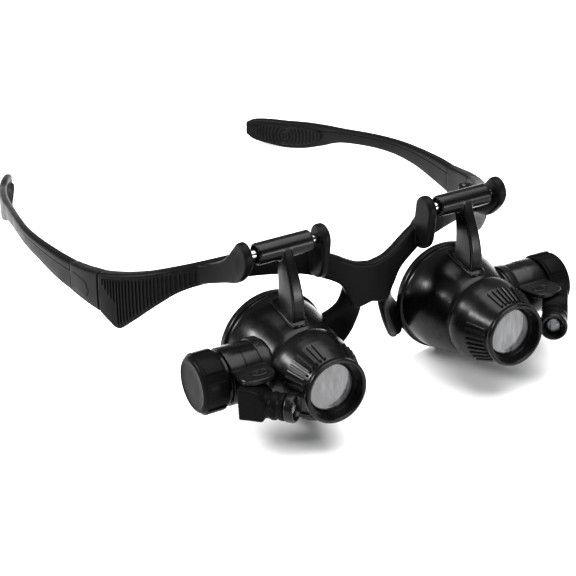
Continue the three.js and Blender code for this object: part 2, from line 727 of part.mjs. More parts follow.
function addSide(side, sign) {
  const put = (parent, name, geometry, finish) => {
    add(parent, `${side}_${name}`, sign > 0 ? join(geometry) : mirrored(geometry), finish);
  };

  put(model, 'hinge_rod', barAlongX(ROD_R, EAR_INNER[1] - EAR_HOLE_DEPTH + GAP,
    EAR_OUTER[0] + EAR_HOLE_DEPTH - GAP, 0, ROD_Z, 20), chrome);
  put(model, 'hinge_block', hingeBlock(), framePlastic);
  put(model, 'hinge_pin', barAlongZ(HINGE_PIN_R, HINGE_Z[0], HINGE_Z[3], HINGE_X, HINGE_Y, 12), steel);
  put(model, 'temple_arm', templeArm(), framePlastic);
  put(model, 'tip_pad', tipPad(), softGrip);

  const loupe = new THREE.Group();
  loupe.position.set(sign * LOUPE_X, LOUPE_Y, LOUPE_Z);
  loupe.rotation.x = LOUPE_TILT;
  model.add(loupe);
  put(loupe, 'friction_bush', frictionBush(), bushPlastic);
  put(loupe, 'sleeve_arm', sleeveArm(), loupePlastic);
  put(loupe, 'eye_cup', eyeCup(), loupePlastic);
  put(loupe, 'lens_holder', lensHolder(), loupePlastic);
  put(loupe, 'lens', lens(), glass);
  put(loupe, 'lens_retainer', lensRetainer(), loupePlastic);
  put(loupe, 'battery_housing', batteryHousing(), loupePlastic);
  put(loupe, 'battery_cap', batteryCap(), loupePlastic);
  put(loupe, 'battery_contact', batteryContact(), brass);
  put(loupe, 'battery_spring', batterySpring(), steel);
  for (let i = 0; i < 3; i += 1) put(loupe, `button_cell_${i + 1}`, buttonCell(i), steel);
  put(loupe, 'lamp_bracket', lampBracket(), loupePlastic);
  put(loupe, 'switch_slider', switchSlider(), loupePlastic);
  put(loupe, 'lamp_knuckle', lampKnuckle(), loupePlastic);
  put(loupe, 'pivot_screw', pivotScrew(), steel);
  put(loupe, 'lamp_hood', lampHood(), loupePlastic);
  put(loupe, 'led', led(), glass);
}

add(model, 'front_frame', frontFrame(), framePlastic);
addSide('left', -1);
addSide('right', 1);

// stand the model on z = 0, with its middle over the origin
const extent = new THREE.Box3().setFromObject(model, true);
model.position.set(0, -(extent.min.y + extent.max.y) / 2, -extent.min.z);
model.updateMatrixWorld(true);

export default model;
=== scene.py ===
"""Looks of the head-worn loupe magnifier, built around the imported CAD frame.

Shapes are worked out in millimetres.  A frame piece is drawn for the +X side in the
CAD's design space (y = 0 on the hinge rods' axis, z = 0 on top of the ears), and a loupe
piece in the loupe's own space (y = 0 on the cup's rim, -y the way the lens looks, +x
outwards).  Space.place() mirrors it where it has to, and takes it to metres.
"""
import json
import math
from collections import namedtuple

import bmesh
import bpy
from mathutils import Matrix, Vector


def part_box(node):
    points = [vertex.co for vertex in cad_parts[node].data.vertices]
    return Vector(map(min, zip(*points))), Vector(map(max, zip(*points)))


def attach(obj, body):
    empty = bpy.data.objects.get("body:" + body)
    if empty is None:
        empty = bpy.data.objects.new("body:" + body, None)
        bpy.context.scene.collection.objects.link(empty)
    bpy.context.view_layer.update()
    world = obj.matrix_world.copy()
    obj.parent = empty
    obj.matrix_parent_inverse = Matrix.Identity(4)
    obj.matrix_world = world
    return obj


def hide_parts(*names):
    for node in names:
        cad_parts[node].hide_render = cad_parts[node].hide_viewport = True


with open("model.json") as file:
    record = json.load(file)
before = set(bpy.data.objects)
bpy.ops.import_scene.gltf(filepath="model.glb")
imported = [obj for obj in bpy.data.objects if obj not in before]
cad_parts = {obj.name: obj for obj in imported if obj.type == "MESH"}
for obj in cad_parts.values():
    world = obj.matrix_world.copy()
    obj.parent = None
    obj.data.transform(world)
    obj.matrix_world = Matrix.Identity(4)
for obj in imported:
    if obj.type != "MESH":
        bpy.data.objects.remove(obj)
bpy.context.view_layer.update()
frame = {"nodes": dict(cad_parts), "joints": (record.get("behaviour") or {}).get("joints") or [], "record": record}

MM = 0.001
NODES = frame["nodes"]
JOINTS = {joint["name"]: joint for joint in frame["joints"]}
SIDES = {"left": -1, "right": 1}

# ------ Camera, light and floor ------
AZIMUTH = math.radians(-29.37)
ELEVATION = math.radians(29.47)
DISTANCE = 0.484
LENS = 102.6
FROM_LEFT_ROD = Vector((3.3, 2.6, -15.7)) * MM  # the point looked at, from the left rod's middle

WORLD_COLOUR = (0.95, 0.97, 1.0, 1)
WORLD_STRENGTH = 0.36
# name, place, point aimed at, size in metres, power in watts
AREA_LIGHTS = [
    ("overhead", (0.2, -0.08, 1.5), (0, -0.03, 0), (1.7, 1.5), 70),
    ("left_window", (-0.88, 0.33, 0.58), (0, -0.05, 0.03), (0.6, 0.16), 24),
    ("low_front", (0.5, -1.25, 0.1), (0, -0.05, 0.03), (0.5, 0.16), 10),
]
FLOOR_HALF = 4.0
FLOOR_Z = -0.0002  # just below the object, so that no two faces share a plane
FLOOR_COLOUR = (0.88, 0.88, 0.88, 1)


def add_object(name, data):
    added = bpy.data.objects.new(name, data)
    bpy.context.scene.collection.objects.link(added)
    return added


def add_camera():
    data = bpy.data.cameras.new("camera")
    data.lens = LENS
    data.clip_end = 20
    camera = add_object("camera", data)
    back = Vector((math.sin(AZIMUTH) * math.cos(ELEVATION),
                   -math.cos(AZIMUTH) * math.cos(ELEVATION), math.sin(ELEVATION)))
    target = Vector(JOINTS["left_loupe_tilt"]["pos_m"]) + FROM_LEFT_ROD
    camera.location = target + back * DISTANCE
    camera.rotation_euler = back.to_track_quat("Z", "Y").to_euler()
    bpy.context.scene.camera = camera


def add_world():
    world = bpy.data.worlds.new("studio")
    world.use_nodes = True
    background = world.node_tree.nodes["Background"]
    background.inputs["Color"].default_value = WORLD_COLOUR
    background.inputs["Strength"].default_value = WORLD_STRENGTH
    bpy.context.scene.world = world
    bpy.context.scene.view_settings.view_transform = "Standard"


def add_area_light(name, location, aim, size, power):
    data = bpy.data.lights.new(name, "AREA")
    data.shape = "RECTANGLE"
    data.size, data.size_y = size
    data.energy = power
    light = add_object(name, data)
    light.location = location
    light.rotation_euler = (Vector(location) - Vector(aim)).to_track_quat("Z", "Y").to_euler()


def add_floor():
    mesh = bpy.data.meshes.new("floor")
    corners = [(x * FLOOR_HALF, y * FLOOR_HALF, FLOOR_Z) for x, y in ((-1, -1), (1, -1), (1, 1), (-1, 1))]
    mesh.from_pydata(corners, [], [(0, 1, 2, 3)])
    floor = add_object("floor", mesh)
    paint = bpy.data.materials.new("floor_paper")
    paint.use_nodes = True
    shader = paint.node_tree.nodes["Principled BSDF"]
    shader.inputs["Base Color"].default_value = FLOOR_COLOUR
    shader.inputs["Roughness"].default_value = 0.9
    shader.inputs["Specular IOR Level"].default_value = 0.1
    mesh.materials.append(paint)


# ------ Materials ------
# the sockets of a Mix node that is set to colours
MIX_FACTOR, MIX_A, MIX_B, MIX_RESULT = 0, 6, 7, 2


class Nodes:
    """A material's node tree, with short ways to add and join nodes."""

    def __init__(self, name):
        self.material = bpy.data.materials.new(name)
        self.material.use_nodes = True
        self.tree = self.material.node_tree
        self.shader = self.tree.nodes["Principled BSDF"]
        self.place = self.add("ShaderNodeTexCoord").outputs["Object"]

    def add(self, kind, **values):
        node = self.tree.nodes.new(kind)
        for key, value in values.items():
            if key in node.inputs:
                node.inputs[key].default_value = value
            else:
                setattr(node, key, value)
        return node

    def join(self, output, target):
        self.tree.links.new(output, target)

    def drive(self, socket, output):
        self.join(output, self.shader.inputs[socket])

    def noise(self, scale, detail=3.0, stretch=None, turn=(0, 0, 0)):
        """Noise in the object's space, which stretch scales along its axes before turn rotates it."""
        place = self.place
        if stretch is not None:
            mapping = self.add("ShaderNodeMapping", Rotation=turn, Scale=stretch)
            self.join(place, mapping.inputs["Vector"])
            place = mapping.outputs["Vector"]
        node = self.add("ShaderNodeTexNoise", Scale=scale, Detail=detail)
        self.join(place, node.inputs["Vector"])
        return node.outputs["Fac"]

    def ramp(self, fac, low, high, from_low=0.3, from_high=0.7):
        node = self.add("ShaderNodeMapRange")
        limits = {"From Min": from_low, "From Max": from_high, "To Min": low, "To Max": high}
        for socket, value in limits.items():
            node.inputs[socket].default_value = value
        self.join(fac, node.inputs["Value"])
        return node.outputs["Result"]

    def mix(self, fac, dark, light):
        """Mixes two colours; dark may also be the output of another node."""
        node = self.add("ShaderNodeMix", data_type="RGBA")
        self.join(fac, node.inputs[MIX_FACTOR])
        if isinstance(dark, bpy.types.NodeSocket):
            self.join(dark, node.inputs[MIX_A])
        else:
            node.inputs[MIX_A].default_value = (*dark, 1)
        node.inputs[MIX_B].default_value = (*light, 1)
        return node.outputs[MIX_RESULT]

    def bump(self, height, strength, distance, after=None):
        node = self.add("ShaderNodeBump", Strength=strength, Distance=distance)
        self.join(height, node.inputs["Height"])
        if after is not None:
            self.join(after, node.inputs["Normal"])
        return node.outputs["Normal"]

    def set(self, **values):
        for key, value in values.items():
            self.shader.inputs[key.replace("_", " ")].default_value = value


def moulded_plastic(name, tone, roughness, grain, grain_depth, specular, wear=0.004):
    """Black moulded plastic: a fine spark-eroded grain, slow sheen changes, rubbed edges."""
    n = Nodes(name)
    dark = [tone * 0.8] * 3
    light = [tone * 1.15, tone * 1.15, tone * 1.22]
    rubbed = [tone + wear, tone + wear, tone + wear * 1.05]
    base = n.mix(n.ramp(n.noise(55, 4), 0, 1), dark, light)
    edge = n.add("ShaderNodeNewGeometry").outputs["Pointiness"]
    n.drive("Base Color", n.mix(n.ramp(edge, 0, 1, 0.53, 0.62), base, rubbed))
    n.drive("Roughness", n.ramp(n.noise(240, 5), roughness - 0.05, roughness + 0.06))
    fine = n.bump(n.noise(grain, 2), 0.35, grain_depth)
    n.drive("Normal", n.bump(n.noise(grain / 14, 3), 0.1, grain_depth * 4, after=fine))
    n.set(Specular_IOR_Level=specular)
    return n.material


def plated_metal(name, colour, roughness, streak):
    """Turned or plated metal with fine streaks; a streak under 1 draws them out along y and z."""
    n = Nodes(name)
    lines = n.noise(300, 4, stretch=(1, streak, streak))
    n.drive("Base Color", n.mix(n.ramp(lines, 0, 1), [c * 0.88 for c in colour], colour))
    n.drive("Roughness", n.ramp(lines, roughness * 0.7, roughness * 1.4))
    n.drive("Normal", n.bump(lines, 0.15, 0.00001))
    n.set(Metallic=1.0)
    return n.material


def lens_glass(name):
    """Coated glass over the dark bore; the grey slanted streaks in its colour are a painted reflection."""
    n = Nodes(name)
    # painted reflection: grey slanted streaks mixed into the glass's colour
    streaks = n.noise(520, 5, stretch=(1.0, 0.1, 0.22), turn=(0.0, math.radians(35), 0.0))
    painted_reflection_mask = n.ramp(streaks, 0, 1, 0.3, 0.66)
    n.drive("Base Color", n.mix(painted_reflection_mask, (0.028, 0.029, 0.031), (0.12, 0.122, 0.126)))
    n.drive("Roughness", n.ramp(n.noise(500, 3), 0.05, 0.12))
    n.drive("Normal", n.bump(n.noise(120, 2), 0.03, 0.00002))
    n.set(IOR=1.52, Transmission_Weight=0.25, Coat_Weight=0.6, Coat_Roughness=0.05)
    return n.material


def led_epoxy(name):
    """Clear, faintly clouded epoxy."""
    n = Nodes(name)
    n.drive("Base Color", n.mix(n.ramp(n.noise(300, 2), 0, 1), (0.30, 0.31, 0.33), (0.42, 0.43, 0.45)))
    n.drive("Roughness", n.ramp(n.noise(800, 2), 0.02, 0.06))
    n.set(IOR=1.5, Transmission_Weight=0.92)
    return n.material


# tone, roughness, scale of the grain, its depth in metres, specular level and, where it isn't usual, wear
PLASTICS = {
    "frame_plastic": (0.0028, 0.36, 5200, 0.000012, 0.03),
    "grip_plastic": (0.0042, 0.48, 4200, 0.000018, 0.03),
    "loupe_plastic": (0.0016, 0.24, 6500, 0.000005, 0.11),
    "holder_plastic": (0.0018, 0.25, 6000, 0.000006, 0.11),
    "cap_plastic": (0.0026, 0.28, 5200, 0.000010, 0.015),
    "bush_plastic": (0.002, 0.5, 3000, 0.000010, 0.16, 0.0),
}
# colour, roughness, streak
METALS = {
    "chrome_rod": ((0.24, 0.245, 0.255), 0.16, 0.05),
    "steel": ((0.17, 0.172, 0.18), 0.3, 1.0),
    "cell_steel": ((0.68, 0.68, 0.69), 0.22, 1.0),
    "brass_contact": ((0.78, 0.60, 0.28), 0.25, 1.0),
}
FINISHES = {name: moulded_plastic(name, *values) for name, values in PLASTICS.items()}
FINISHES.update({name: plated_metal(name, *values) for name, values in METALS.items()})
FINISHES["lens_glass"] = lens_glass("lens_glass")
FINISHES["led_clear"] = led_epoxy("led_clear")


# ------ Mesh making: a part is a pair (points, faces), and a ring is a list of points ------
CORNER_STEPS = 5
CORNER_SHARE = 0.42  # a corner's radius is at most this share of a section's side
FACE_STEPS = 5
TINY = 1e-6


def catmull(points, t):
    """Point at t (0 to 1) of a smooth curve through evenly numbered points."""
    count = len(points) - 1
    where = min(max(t, 0.0), 1.0) * count
    i = min(int(where), count - 1)
    u = where - i
    p1, p2 = points[i], points[i + 1]
    p0 = points[i - 1] if i > 0 else [2 * a - b for a, b in zip(p1, p2)]
    p3 = points[i + 2] if i + 2 <= count else [2 * b - a for a, b in zip(p1, p2)]
    return [0.5 * (2 * b + (c - a) * u + (2 * a - 5 * b + 4 * c - d) * u * u
                   + (3 * b - a - 3 * c + d) * u ** 3)
            for a, b, c, d in zip(p0, p1, p2, p3)]


def curve(points, steps):
    """The whole of that curve, in even steps."""
    return [tuple(catmull(points, i / steps)) for i in range(steps + 1)]


def arc(centre, radius, start, end, steps=CORNER_STEPS):
    """Points of an arc, angles in degrees."""
    points = []
    for i in range(steps + 1):
        angle = math.radians(start + (end - start) * i / steps)
        points.append((centre[0] + radius * math.cos(angle), centre[1] + radius * math.sin(angle)))
    return points


def circle(steps):
    """(cosine, sine) at even steps round a full turn."""
    angles = [2 * math.pi * k / steps for k in range(steps)]
    return [(math.cos(angle), math.sin(angle)) for angle in angles]


def squarer(value, power):
    """A cosine or sine that makes a rounded square of a circle; a lower power is squarer."""
    return math.copysign(abs(value) ** power, value)


def rounded_section(depth, top, bottom, radius, crown=0.0):
    """A rounded rectangle, as (into, z) points; crown swells its two long faces."""
    r = min(radius, depth * CORNER_SHARE, (top - bottom) * CORNER_SHARE)
    points = arc((depth - r, top - r), r, 90, 0)
    for i in range(1, FACE_STEPS):
        z = top - r + (bottom - top + 2 * r) * i / FACE_STEPS
        points.append((depth + crown * math.sin(math.pi * i / FACE_STEPS), z))
    points += arc((depth - r, bottom + r), r, 0, -90)
    points += arc((r, bottom + r), r, -90, -180)
    for i in range(1, FACE_STEPS):
        z = bottom + r + (top - bottom - 2 * r) * i / FACE_STEPS
        points.append((-crown * math.sin(math.pi * i / FACE_STEPS), z))
    points += arc((r, top - r), r, 180, 90)
    return points


def inset(ring, distance):
    """The ring, with each point drawn towards the middle."""
    centre = sum(ring, Vector()) / len(ring)
    return [p + (centre - p) * min(1.0, distance / max((centre - p).length, TINY)) for p in ring]


def shifted(ring, towards, distance):
    """The ring, moved towards the middle of another."""
    way = (sum(towards, Vector()) - sum(ring, Vector())) / len(ring)
    way.normalize()
    return [p + way * distance for p in ring]


def eased_end(end, neighbour, radius):
    """Three rings that round the end of a loft, starting at its tip."""
    first = radius * 0.3
    return [inset(end, radius), inset(shifted(end, neighbour, first), first),
            shifted(end, neighbour, radius)]


def quads(start, other, count):
    """Faces between two rings of count points, each given by its first point's index."""
    return [(start + i, start + (i + 1) % count, other + (i + 1) % count, other + i) for i in range(count)]


def loft(rings, end_round=0.0):
    """A closed skin over rings, with softly rounded ends where end_round says so."""
    if end_round > 0:
        head = eased_end(rings[0], rings[1], end_round)
        tail = eased_end(rings[-1], rings[-2], end_round)
        rings = head + rings[1:-1] + tail[::-1]
    count = len(rings[0])
    points = [p for ring in rings for p in ring]
    faces = []
    for r in range(len(rings) - 1):
        faces += quads(r * count, (r + 1) * count, count)
    for r in (0, len(rings) - 1):
        points.append(sum(rings[r], Vector()) / count)
        for i in range(count):
            faces.append((r * count + i, r * count + (i + 1) % count, len(points) - 1))
    return points, faces


def turned(profile, segments=128, closed=True):
    """A solid turned about the y axis; profile holds (radius, y), and closes on itself if closed."""
    points, faces, rows = [], [], []
    for radius, y in profile:
        if radius < TINY:
            rows.append([len(points)] * segments)
            points.append(Vector((0, y, 0)))
        else:
            rows.append(list(range(len(points), len(points) + segments)))
            points += [Vector((radius * s, y, radius * c)) for c, s in circle(segments)]
    pairs = list(zip(rows, rows[1:]))
    if closed and profile[0][0] > TINY:
        pairs.append((rows[-1], rows[0]))
    for a, b in pairs:
        for i in range(segments):
            j = (i + 1) % segments
            corners = tuple(dict.fromkeys((a[i], a[j], b[j], b[i])))  # a point on the axis comes once
            if len(corners) > 2:
                faces.append(corners)
    return points, faces


def softened(profile, radius, steps=3):
    """A closed outline with its corners rounded, apart from those at x = 0 and below."""
    count = len(profile)
    result = []
    for i, (x, y) in enumerate(profile):
        here = Vector((x, y))
        before, after = Vector(profile[i - 1]), Vector(profile[(i + 1) % count])
        to_before, to_after = before - here, after - here
        r = min(radius, to_before.length * 0.45, to_after.length * 0.45)
        if x < TINY or r < 1e-4:
            result.append((x, y))
            continue
        start, end = here + to_before.normalized() * r, here + to_after.normalized() * r
        for k in range(steps + 1):
            u = k / steps
            point = start * (1 - u) ** 2 + here * 2 * u * (1 - u) + end * u * u
            result.append((point.x, point.y))
    return result


def prism(outline, low, high, bevel):
    """An (x, y) outline raised between two heights, edges eased."""
    rings = []
    for z, shrink in ((low, bevel), (low + bevel, 0.0), (high - bevel, 0.0), (high, bevel)):
        rings.append(inset([Vector((x, y, z)) for x, y in outline], shrink))
    return loft(rings)


def box(x, y, z, bevel):
    outline = [(x[0], y[0]), (x[1], y[0]), (x[1], y[1]), (x[0], y[1])]
    return prism(softened(outline, bevel * 1.5), z[0], z[1], bevel)


def block(x, y, half, z, bevel):
    """A box with its middle at (x, y); half holds half its width and half its length."""
    return box((x - half[0], x + half[0]), (y - half[1], y + half[1]), z, bevel)


def moved(part, matrix):
    points, faces = part
    return [matrix @ p for p in points], faces


def along_x(part, y, z):
    """Turns a part made about the y axis so that its axis runs along x through (y, z)."""
    return moved(part, Matrix.Translation((0, y, z)) @ Matrix.Rotation(-math.pi / 2, 4, "Z"))


def along_z(part, x, y):
    """The same along z through (x, y)."""
    return moved(part, Matrix.Translation((x, y, 0)) @ Matrix.Rotation(math.pi / 2, 4, "X"))


def merged(*parts):
    points, faces = [], []
    for part_points, part_faces in parts:
        offset = len(points)
        points += part_points
        faces += [tuple(i + offset for i in face) for face in part_faces]
    return points, faces


class Space:
    """Where a part's millimetres lie in the row frame, on one side of the object."""

    def __init__(self, sign, matrix):
        self.matrix = matrix @ Matrix.Diagonal((sign * MM, MM, MM, 1))

    def place(self, name, part, body, slot, nodes=(), sharp=38.0, remesh=0.0, smooth=0):
        """Adds the part as a piece that rides on body; remesh is a voxel size, sharp an angle."""
        points, faces = part
        mesh = bpy.data.meshes.new(name)
        mesh.from_pydata([self.matrix @ p for p in points], [], faces)
        piece = add_object(name, mesh)
        face_out(mesh)
        if remesh > 0:
            fuse(piece, remesh * MM, smooth)
        piece.data.shade_smooth()
        if remesh <= 0:
            piece.data.set_sharp_from_angle(angle=math.radians(sharp))
        piece.data.materials.append(FINISHES[slot])
        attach(piece, body)
        if nodes:
            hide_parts(*nodes)


def face_out(mesh):
    work = bmesh.new()
    work.from_mesh(mesh)
    bmesh.ops.remove_doubles(work, verts=work.verts, dist=1e-8)
    bmesh.ops.recalc_face_normals(work, faces=work.faces)
    work.to_mesh(mesh)
    work.free()


def fuse(piece, voxel, smooth):
    """Melts overlapping shells into one skin, with small fillets where they meet."""
    melt = piece.modifiers.new("melt", "REMESH")
    melt.mode = "VOXEL"
    melt.voxel_size = voxel
    ease = piece.modifiers.new("ease", "SMOOTH")
    ease.factor = 0.5
    ease.iterations = smooth
    bpy.context.view_layer.update()
    evaluated = piece.evaluated_get(bpy.context.evaluated_depsgraph_get())
    mesh = bpy.data.meshes.new_from_object(evaluated)
    piece.modifiers.clear()
    old = piece.data
    piece.data = mesh
    bpy.data.meshes.remove(old)


# ------ Spectacle frame: the stations follow the CAD's, in its design space ------
ROD_Z = -4.5
EAR_R = 4.2
EAR_INNER = (17.0, 19.8)
INNER_EAR_BEND = [(-3.4, -13.2), (-2.6, -17.6), (1.6, -18.3)]
INNER_EAR_BACK = [(6.4, -17.8), (6.6, -11.5), (4.6, -8.6)]
HINGE = Vector(JOINTS["right_temple_fold"]["pos_m"]) / MM
ROD = Vector(JOINTS["right_loupe_tilt"]["pos_m"]) / MM
HINGE_X = HINGE.x
HINGE_Y = HINGE.y - ROD.y
HINGE_Z = (-37.0, -33.8, -30.2, -27.0)  # ends of the three hinge barrels
HINGE_GAP = 0.15  # taken off a barrel where it meets another
BARREL_R = 1.9
WEB = (0.3, 4)  # ends along y, from the axis
WEB_WIDTH = 3
PIN_R = 0.8
PIN_HEAD_R = 1.3

# x, y, top, bottom, thickness
BROW = [
    (0, -0.2, -18.1, -31.6, 3.4), (3.2, -0.1, -17.6, -32.4, 3.4), (5.8, 0.0, -16.8, -32.2, 3.4),
    (8, 0.3, -15.8, -28.2, 3.4), (10.8, 0.9, -14.4, -23.4, 3.4), (16.4, 2.8, -12.0, -20.4, 3.2),
    (22, 4.8, -10.7, -18.6, 3.2), (31, 7.6, -10.3, -17.7, 3.2), (40, 11.6, -10.8, -18.4, 3.2),
    (49.5, 17.2, -13.6, -21.0, 3.2), (55, 21.3, -15.6, -24.1, 3.3), (59.3, 25.2, -17.4, -28.4, 3.4),
    (62.6, 29.2, -19.1, -32.8, 3.6), (65.5, 33.8, -20.8, -37.6, 3.8), (67.8, 38.2, -22.3, -41.4, 4.0),
    (69.4, 41.6, -23.3, -40.0, 4.1), (70.7, 45.4, -24.3, -38.0, 4.2),
]
EAR_SWEEP = [
    (45.4, -4.0, -3.4, -5.6, 2.8), (45.4, -3.0, -1.5, -8.0, 2.8), (45.4, -1.4, -0.3, -10.2, 2.8),
    (45.4, 0.2, 0.0, -12.0, 2.8), (45.4, 2.0, -0.5, -13.6, 2.8), (45.6, 4.0, -3.0, -14.8, 2.8),
    (46.4, 8.0, -8.2, -16.4, 2.8), (48.0, 13.0, -12.0, -18.6, 2.8), (50.5, 18.4, -14.3, -20.8, 2.8),
]
BLOCK = [
    (70.8, 45.8, -24.4, -37.9, 4.2), (71.9, 51, -25.5, -37.8, 4.1),
    (72.6, 56, -26.6, -37.8, 3.9), (73.1, 61.5, -27.7, -38.0, 3.6),
]
TEMPLE = [
    (73.1, 61.56, -27.8, -38.0, 3.5), (74.2, 72, -29.0, -38.1, 3.3), (74.7, 86, -30.9, -37.9, 3.0),
    (74.2, 100, -33.0, -38.8, 2.8), (72.1, 114, -35.5, -40.9, 2.7), (69.0, 130, -38.9, -44.9, 2.7),
    (66.9, 141, -41.1, -50.0, 2.8), (64.2, 151, -43.2, -54.3, 2.9), (61.0, 160, -45.3, -56.7, 2.9),
    (57.2, 168, -46.7, -57.3, 2.8), (53.8, 174.2, -48.3, -57.0, 2.6), (51.9, 177.2, -50.2, -55.5, 2.2),
]
# height, then x and y of the front, middle and rear, thickness
NOSE_BLADE = [
    (-22, 4.0, 1.6, 5.8, 2.0, 7.6, 2.8, 2.2), (-30, 3.4, 1.6, 6.2, 2.8, 8.6, 4.6, 2.2),
    (-34, 3.8, 1.7, 7.2, 4.2, 10.4, 6.6, 2.1), (-38, 5.0, 2.0, 9.0, 7.1, 13.2, 9.8, 2.0),
    (-42, 6.6, 2.6, 10.4, 9.3, 16.0, 10.8, 1.9), (-46, 8.6, 4.0, 12.0, 9.5, 17.2, 10.5, 1.8),
    (-50, 11.2, 6.2, 14.0, 9.1, 17.4, 9.6, 1.6), (-52.3, 13.8, 7.8, 15.4, 8.8, 17.0, 9.2, 1.1),
]
BRIDGE_STATIONS = 4  # of the brow bar, on each side of the middle

GRIP_RIBS = 21
GRIP_SPAN = (0.575, 0.872)  # where the full ribs start and end, as shares of the brow bar's stations
RIB_HALF_WIDTH = 0.33
RIB_PROUD = 0.58
RIB_STEP = 0.0185
RIB_FROM_TOP = 1.5
RIB_FROM_BOTTOM = 1.2
SHORT_RIBS = (9.6, 8.4, 7.0, 5.4, 3.6)  # how far each reaches below the top edge

LINE_SHARE = 0.27  # how far down the temple its moulded line runs, as a share of the height
STOP_START = 0.70  # share of the temple's stations
STOP_LENGTH = 0.055
TAB_START = 0.30  # share of the hinge block's stations
TAB_LENGTH = 0.58
TAB_Z = -32.6
TAB_HALF_HEIGHT = 3.1
PAD_SPAN = (0.54, 0.89)
PAD_HALF_HEIGHT = 4.2
PAD_RING_PITCH = 1.75

MIRROR = Matrix.Diagonal((-1, 1, 1, 1))
Station = namedtuple("Station", "point inward tangent top bottom depth")


def path_at(stations, t):
    x, y, top, bottom, depth = catmull(stations, t)
    ahead = catmull(stations, min(1.0, t + 0.002))
    behind = catmull(stations, max(0.0, t - 0.002))
    tangent = Vector((ahead[0] - behind[0], ahead[1] - behind[1], 0)).normalized()
    return Station(Vector((x, y, 0)), Vector((-tangent.y, tangent.x, 0)), tangent, top, bottom, depth)


def path_length(stations, start, end):
    steps = 40
    marks = [catmull(stations, start + (end - start) * i / steps) for i in range(steps + 1)]
    return sum(math.hypot(b[0] - a[0], b[1] - a[1]) for a, b in zip(marks, marks[1:]))


def band(stations, steps, radius, crown=0.15, section=rounded_section, end_round=0.35):
    """A bar through stations; its section is drawn inwards from the outer face."""
    rings = []
    for i in range(steps + 1):
        at = path_at(stations, i / steps)
        outline = section(at.depth, at.top, at.bottom, radius, crown)
        rings.append([at.point + at.inward * into + Vector((0, 0, z)) for into, z in outline])
    return loft(rings, end_round)


def inner_ear():
    outline = arc((0, ROD_Z), EAR_R, 0, 180, 18)
    for k in range(9):
        u = k / 8
        outline.append(tuple(a * (1 - u) ** 2 + 2 * b * u * (1 - u) + c * u * u
                             for a, b, c in zip(*INNER_EAR_BEND)))
    outline += INNER_EAR_BACK
    part = prism(softened(outline, 0.2, 1), *EAR_INNER, bevel=0.55)
    # the prism's (x, y, z) become (y, z, x)
    return moved(part, Matrix(((0, 0, 1, 0), (1, 0, 0, 0), (0, 1, 0, 0), (0, 0, 0, 1))))


def nose_blade():
    """A leaf whose curved section bends through three marks at each height."""
    steps = 40
    half_turn = 18
    rings = []
    for i in range(steps + 1):
        z, *spine, depth = catmull(NOSE_BLADE, i / steps)
        marks = [spine[0:2], spine[2:4], spine[4:6]]
        low_side, high_side = [], []
        for k in range(half_turn + 1):
            angle = math.pi * k / half_turn
            along = 0.5 - 0.5 * squarer(math.cos(angle), 0.75)
            x, y = catmull(marks, along)
            ahead, behind = catmull(marks, along + 0.02), catmull(marks, along - 0.02)
            way = Vector((ahead[0] - behind[0], ahead[1] - behind[1], 0)).normalized()
            across = Vector((way.y, -way.x, 0)) * (depth / 2 * math.sin(angle) ** 0.55)
            over = way * (depth * 0.3 * (2 * along - 1) * (1 - math.sin(angle)))
            low_side.append(Vector((x, y, z)) + over + across)
            high_side.append(Vector((x, y, z)) + over - across)
        rings.append(low_side + high_side[-2:0:-1])
    return loft(rings, 0.5)


def hinge_barrel(low, high, way):
    """One barrel of the temple hinge, with the web that joins it to the bar on its -y or +y side."""
    outline = [(0, low), (BARREL_R, low), (BARREL_R, high), (0, high)]
    barrel = along_z(turned(softened(outline, 0.25), 48), HINGE_X, HINGE_Y)
    web_y = sorted(HINGE_Y + way * reach for reach in WEB)
    return merged(barrel, box((HINGE_X, HINGE_X + WEB_WIDTH), web_y, (low, high), 0.2))


def front_frame():
    low, middle_low, middle_high, high = HINGE_Z
    half = merged(
        band(BROW, 150, 0.9),
        band(EAR_SWEEP, 60, 0.9, crown=0.1),
        inner_ear(),
        nose_blade(),
        hinge_barrel(low, middle_low - HINGE_GAP, -1),
        hinge_barrel(middle_high + HINGE_GAP, high, -1),
    )
    right = BROW[:BRIDGE_STATIONS]
    left = [(-x, *rest) for x, *rest in reversed(right[1:])]
    return merged(half, moved(half, MIRROR), band(left + right, 40, 0.9))


def upright_rib(t, reach=None):
    """One rib on the bar's outer face; with a reach, it ends that far below the bar's top edge."""
    at = path_at(BROW, t)
    high = at.top - RIB_FROM_TOP
    low = at.bottom + RIB_FROM_BOTTOM if reach is None else at.top - reach
    middle, half = (high + low) / 2, (high - low) / 2
    steps = 16
    rings = []
    for k in range(steps + 1):
        u = -math.cos(math.pi * k / steps)
        swell = (1 - abs(u) ** 10) ** 0.5
        ring = []
        for c, s in circle(12):
            ring.append(at.point + at.tangent * (RIB_HALF_WIDTH * squarer(c, 0.7) * max(swell, 0.25))
                        - at.inward * (RIB_PROUD * squarer(s, 0.7) * max(swell, 0.1))
                        + Vector((0, 0, middle + u * half)))
        rings.append(ring)
    return loft(rings)


def grip_ribs():
    """Upright ribs on the endpiece; behind its corner they shorten along a curve."""
    first, last = GRIP_SPAN
    full = [upright_rib(first + (last - first) * i / (GRIP_RIBS - 1)) for i in range(GRIP_RIBS)]
    short = [upright_rib(last + RIB_STEP * (i + 1), reach) for i, reach in enumerate(SHORT_RIBS)]
    return merged(*full, *short)


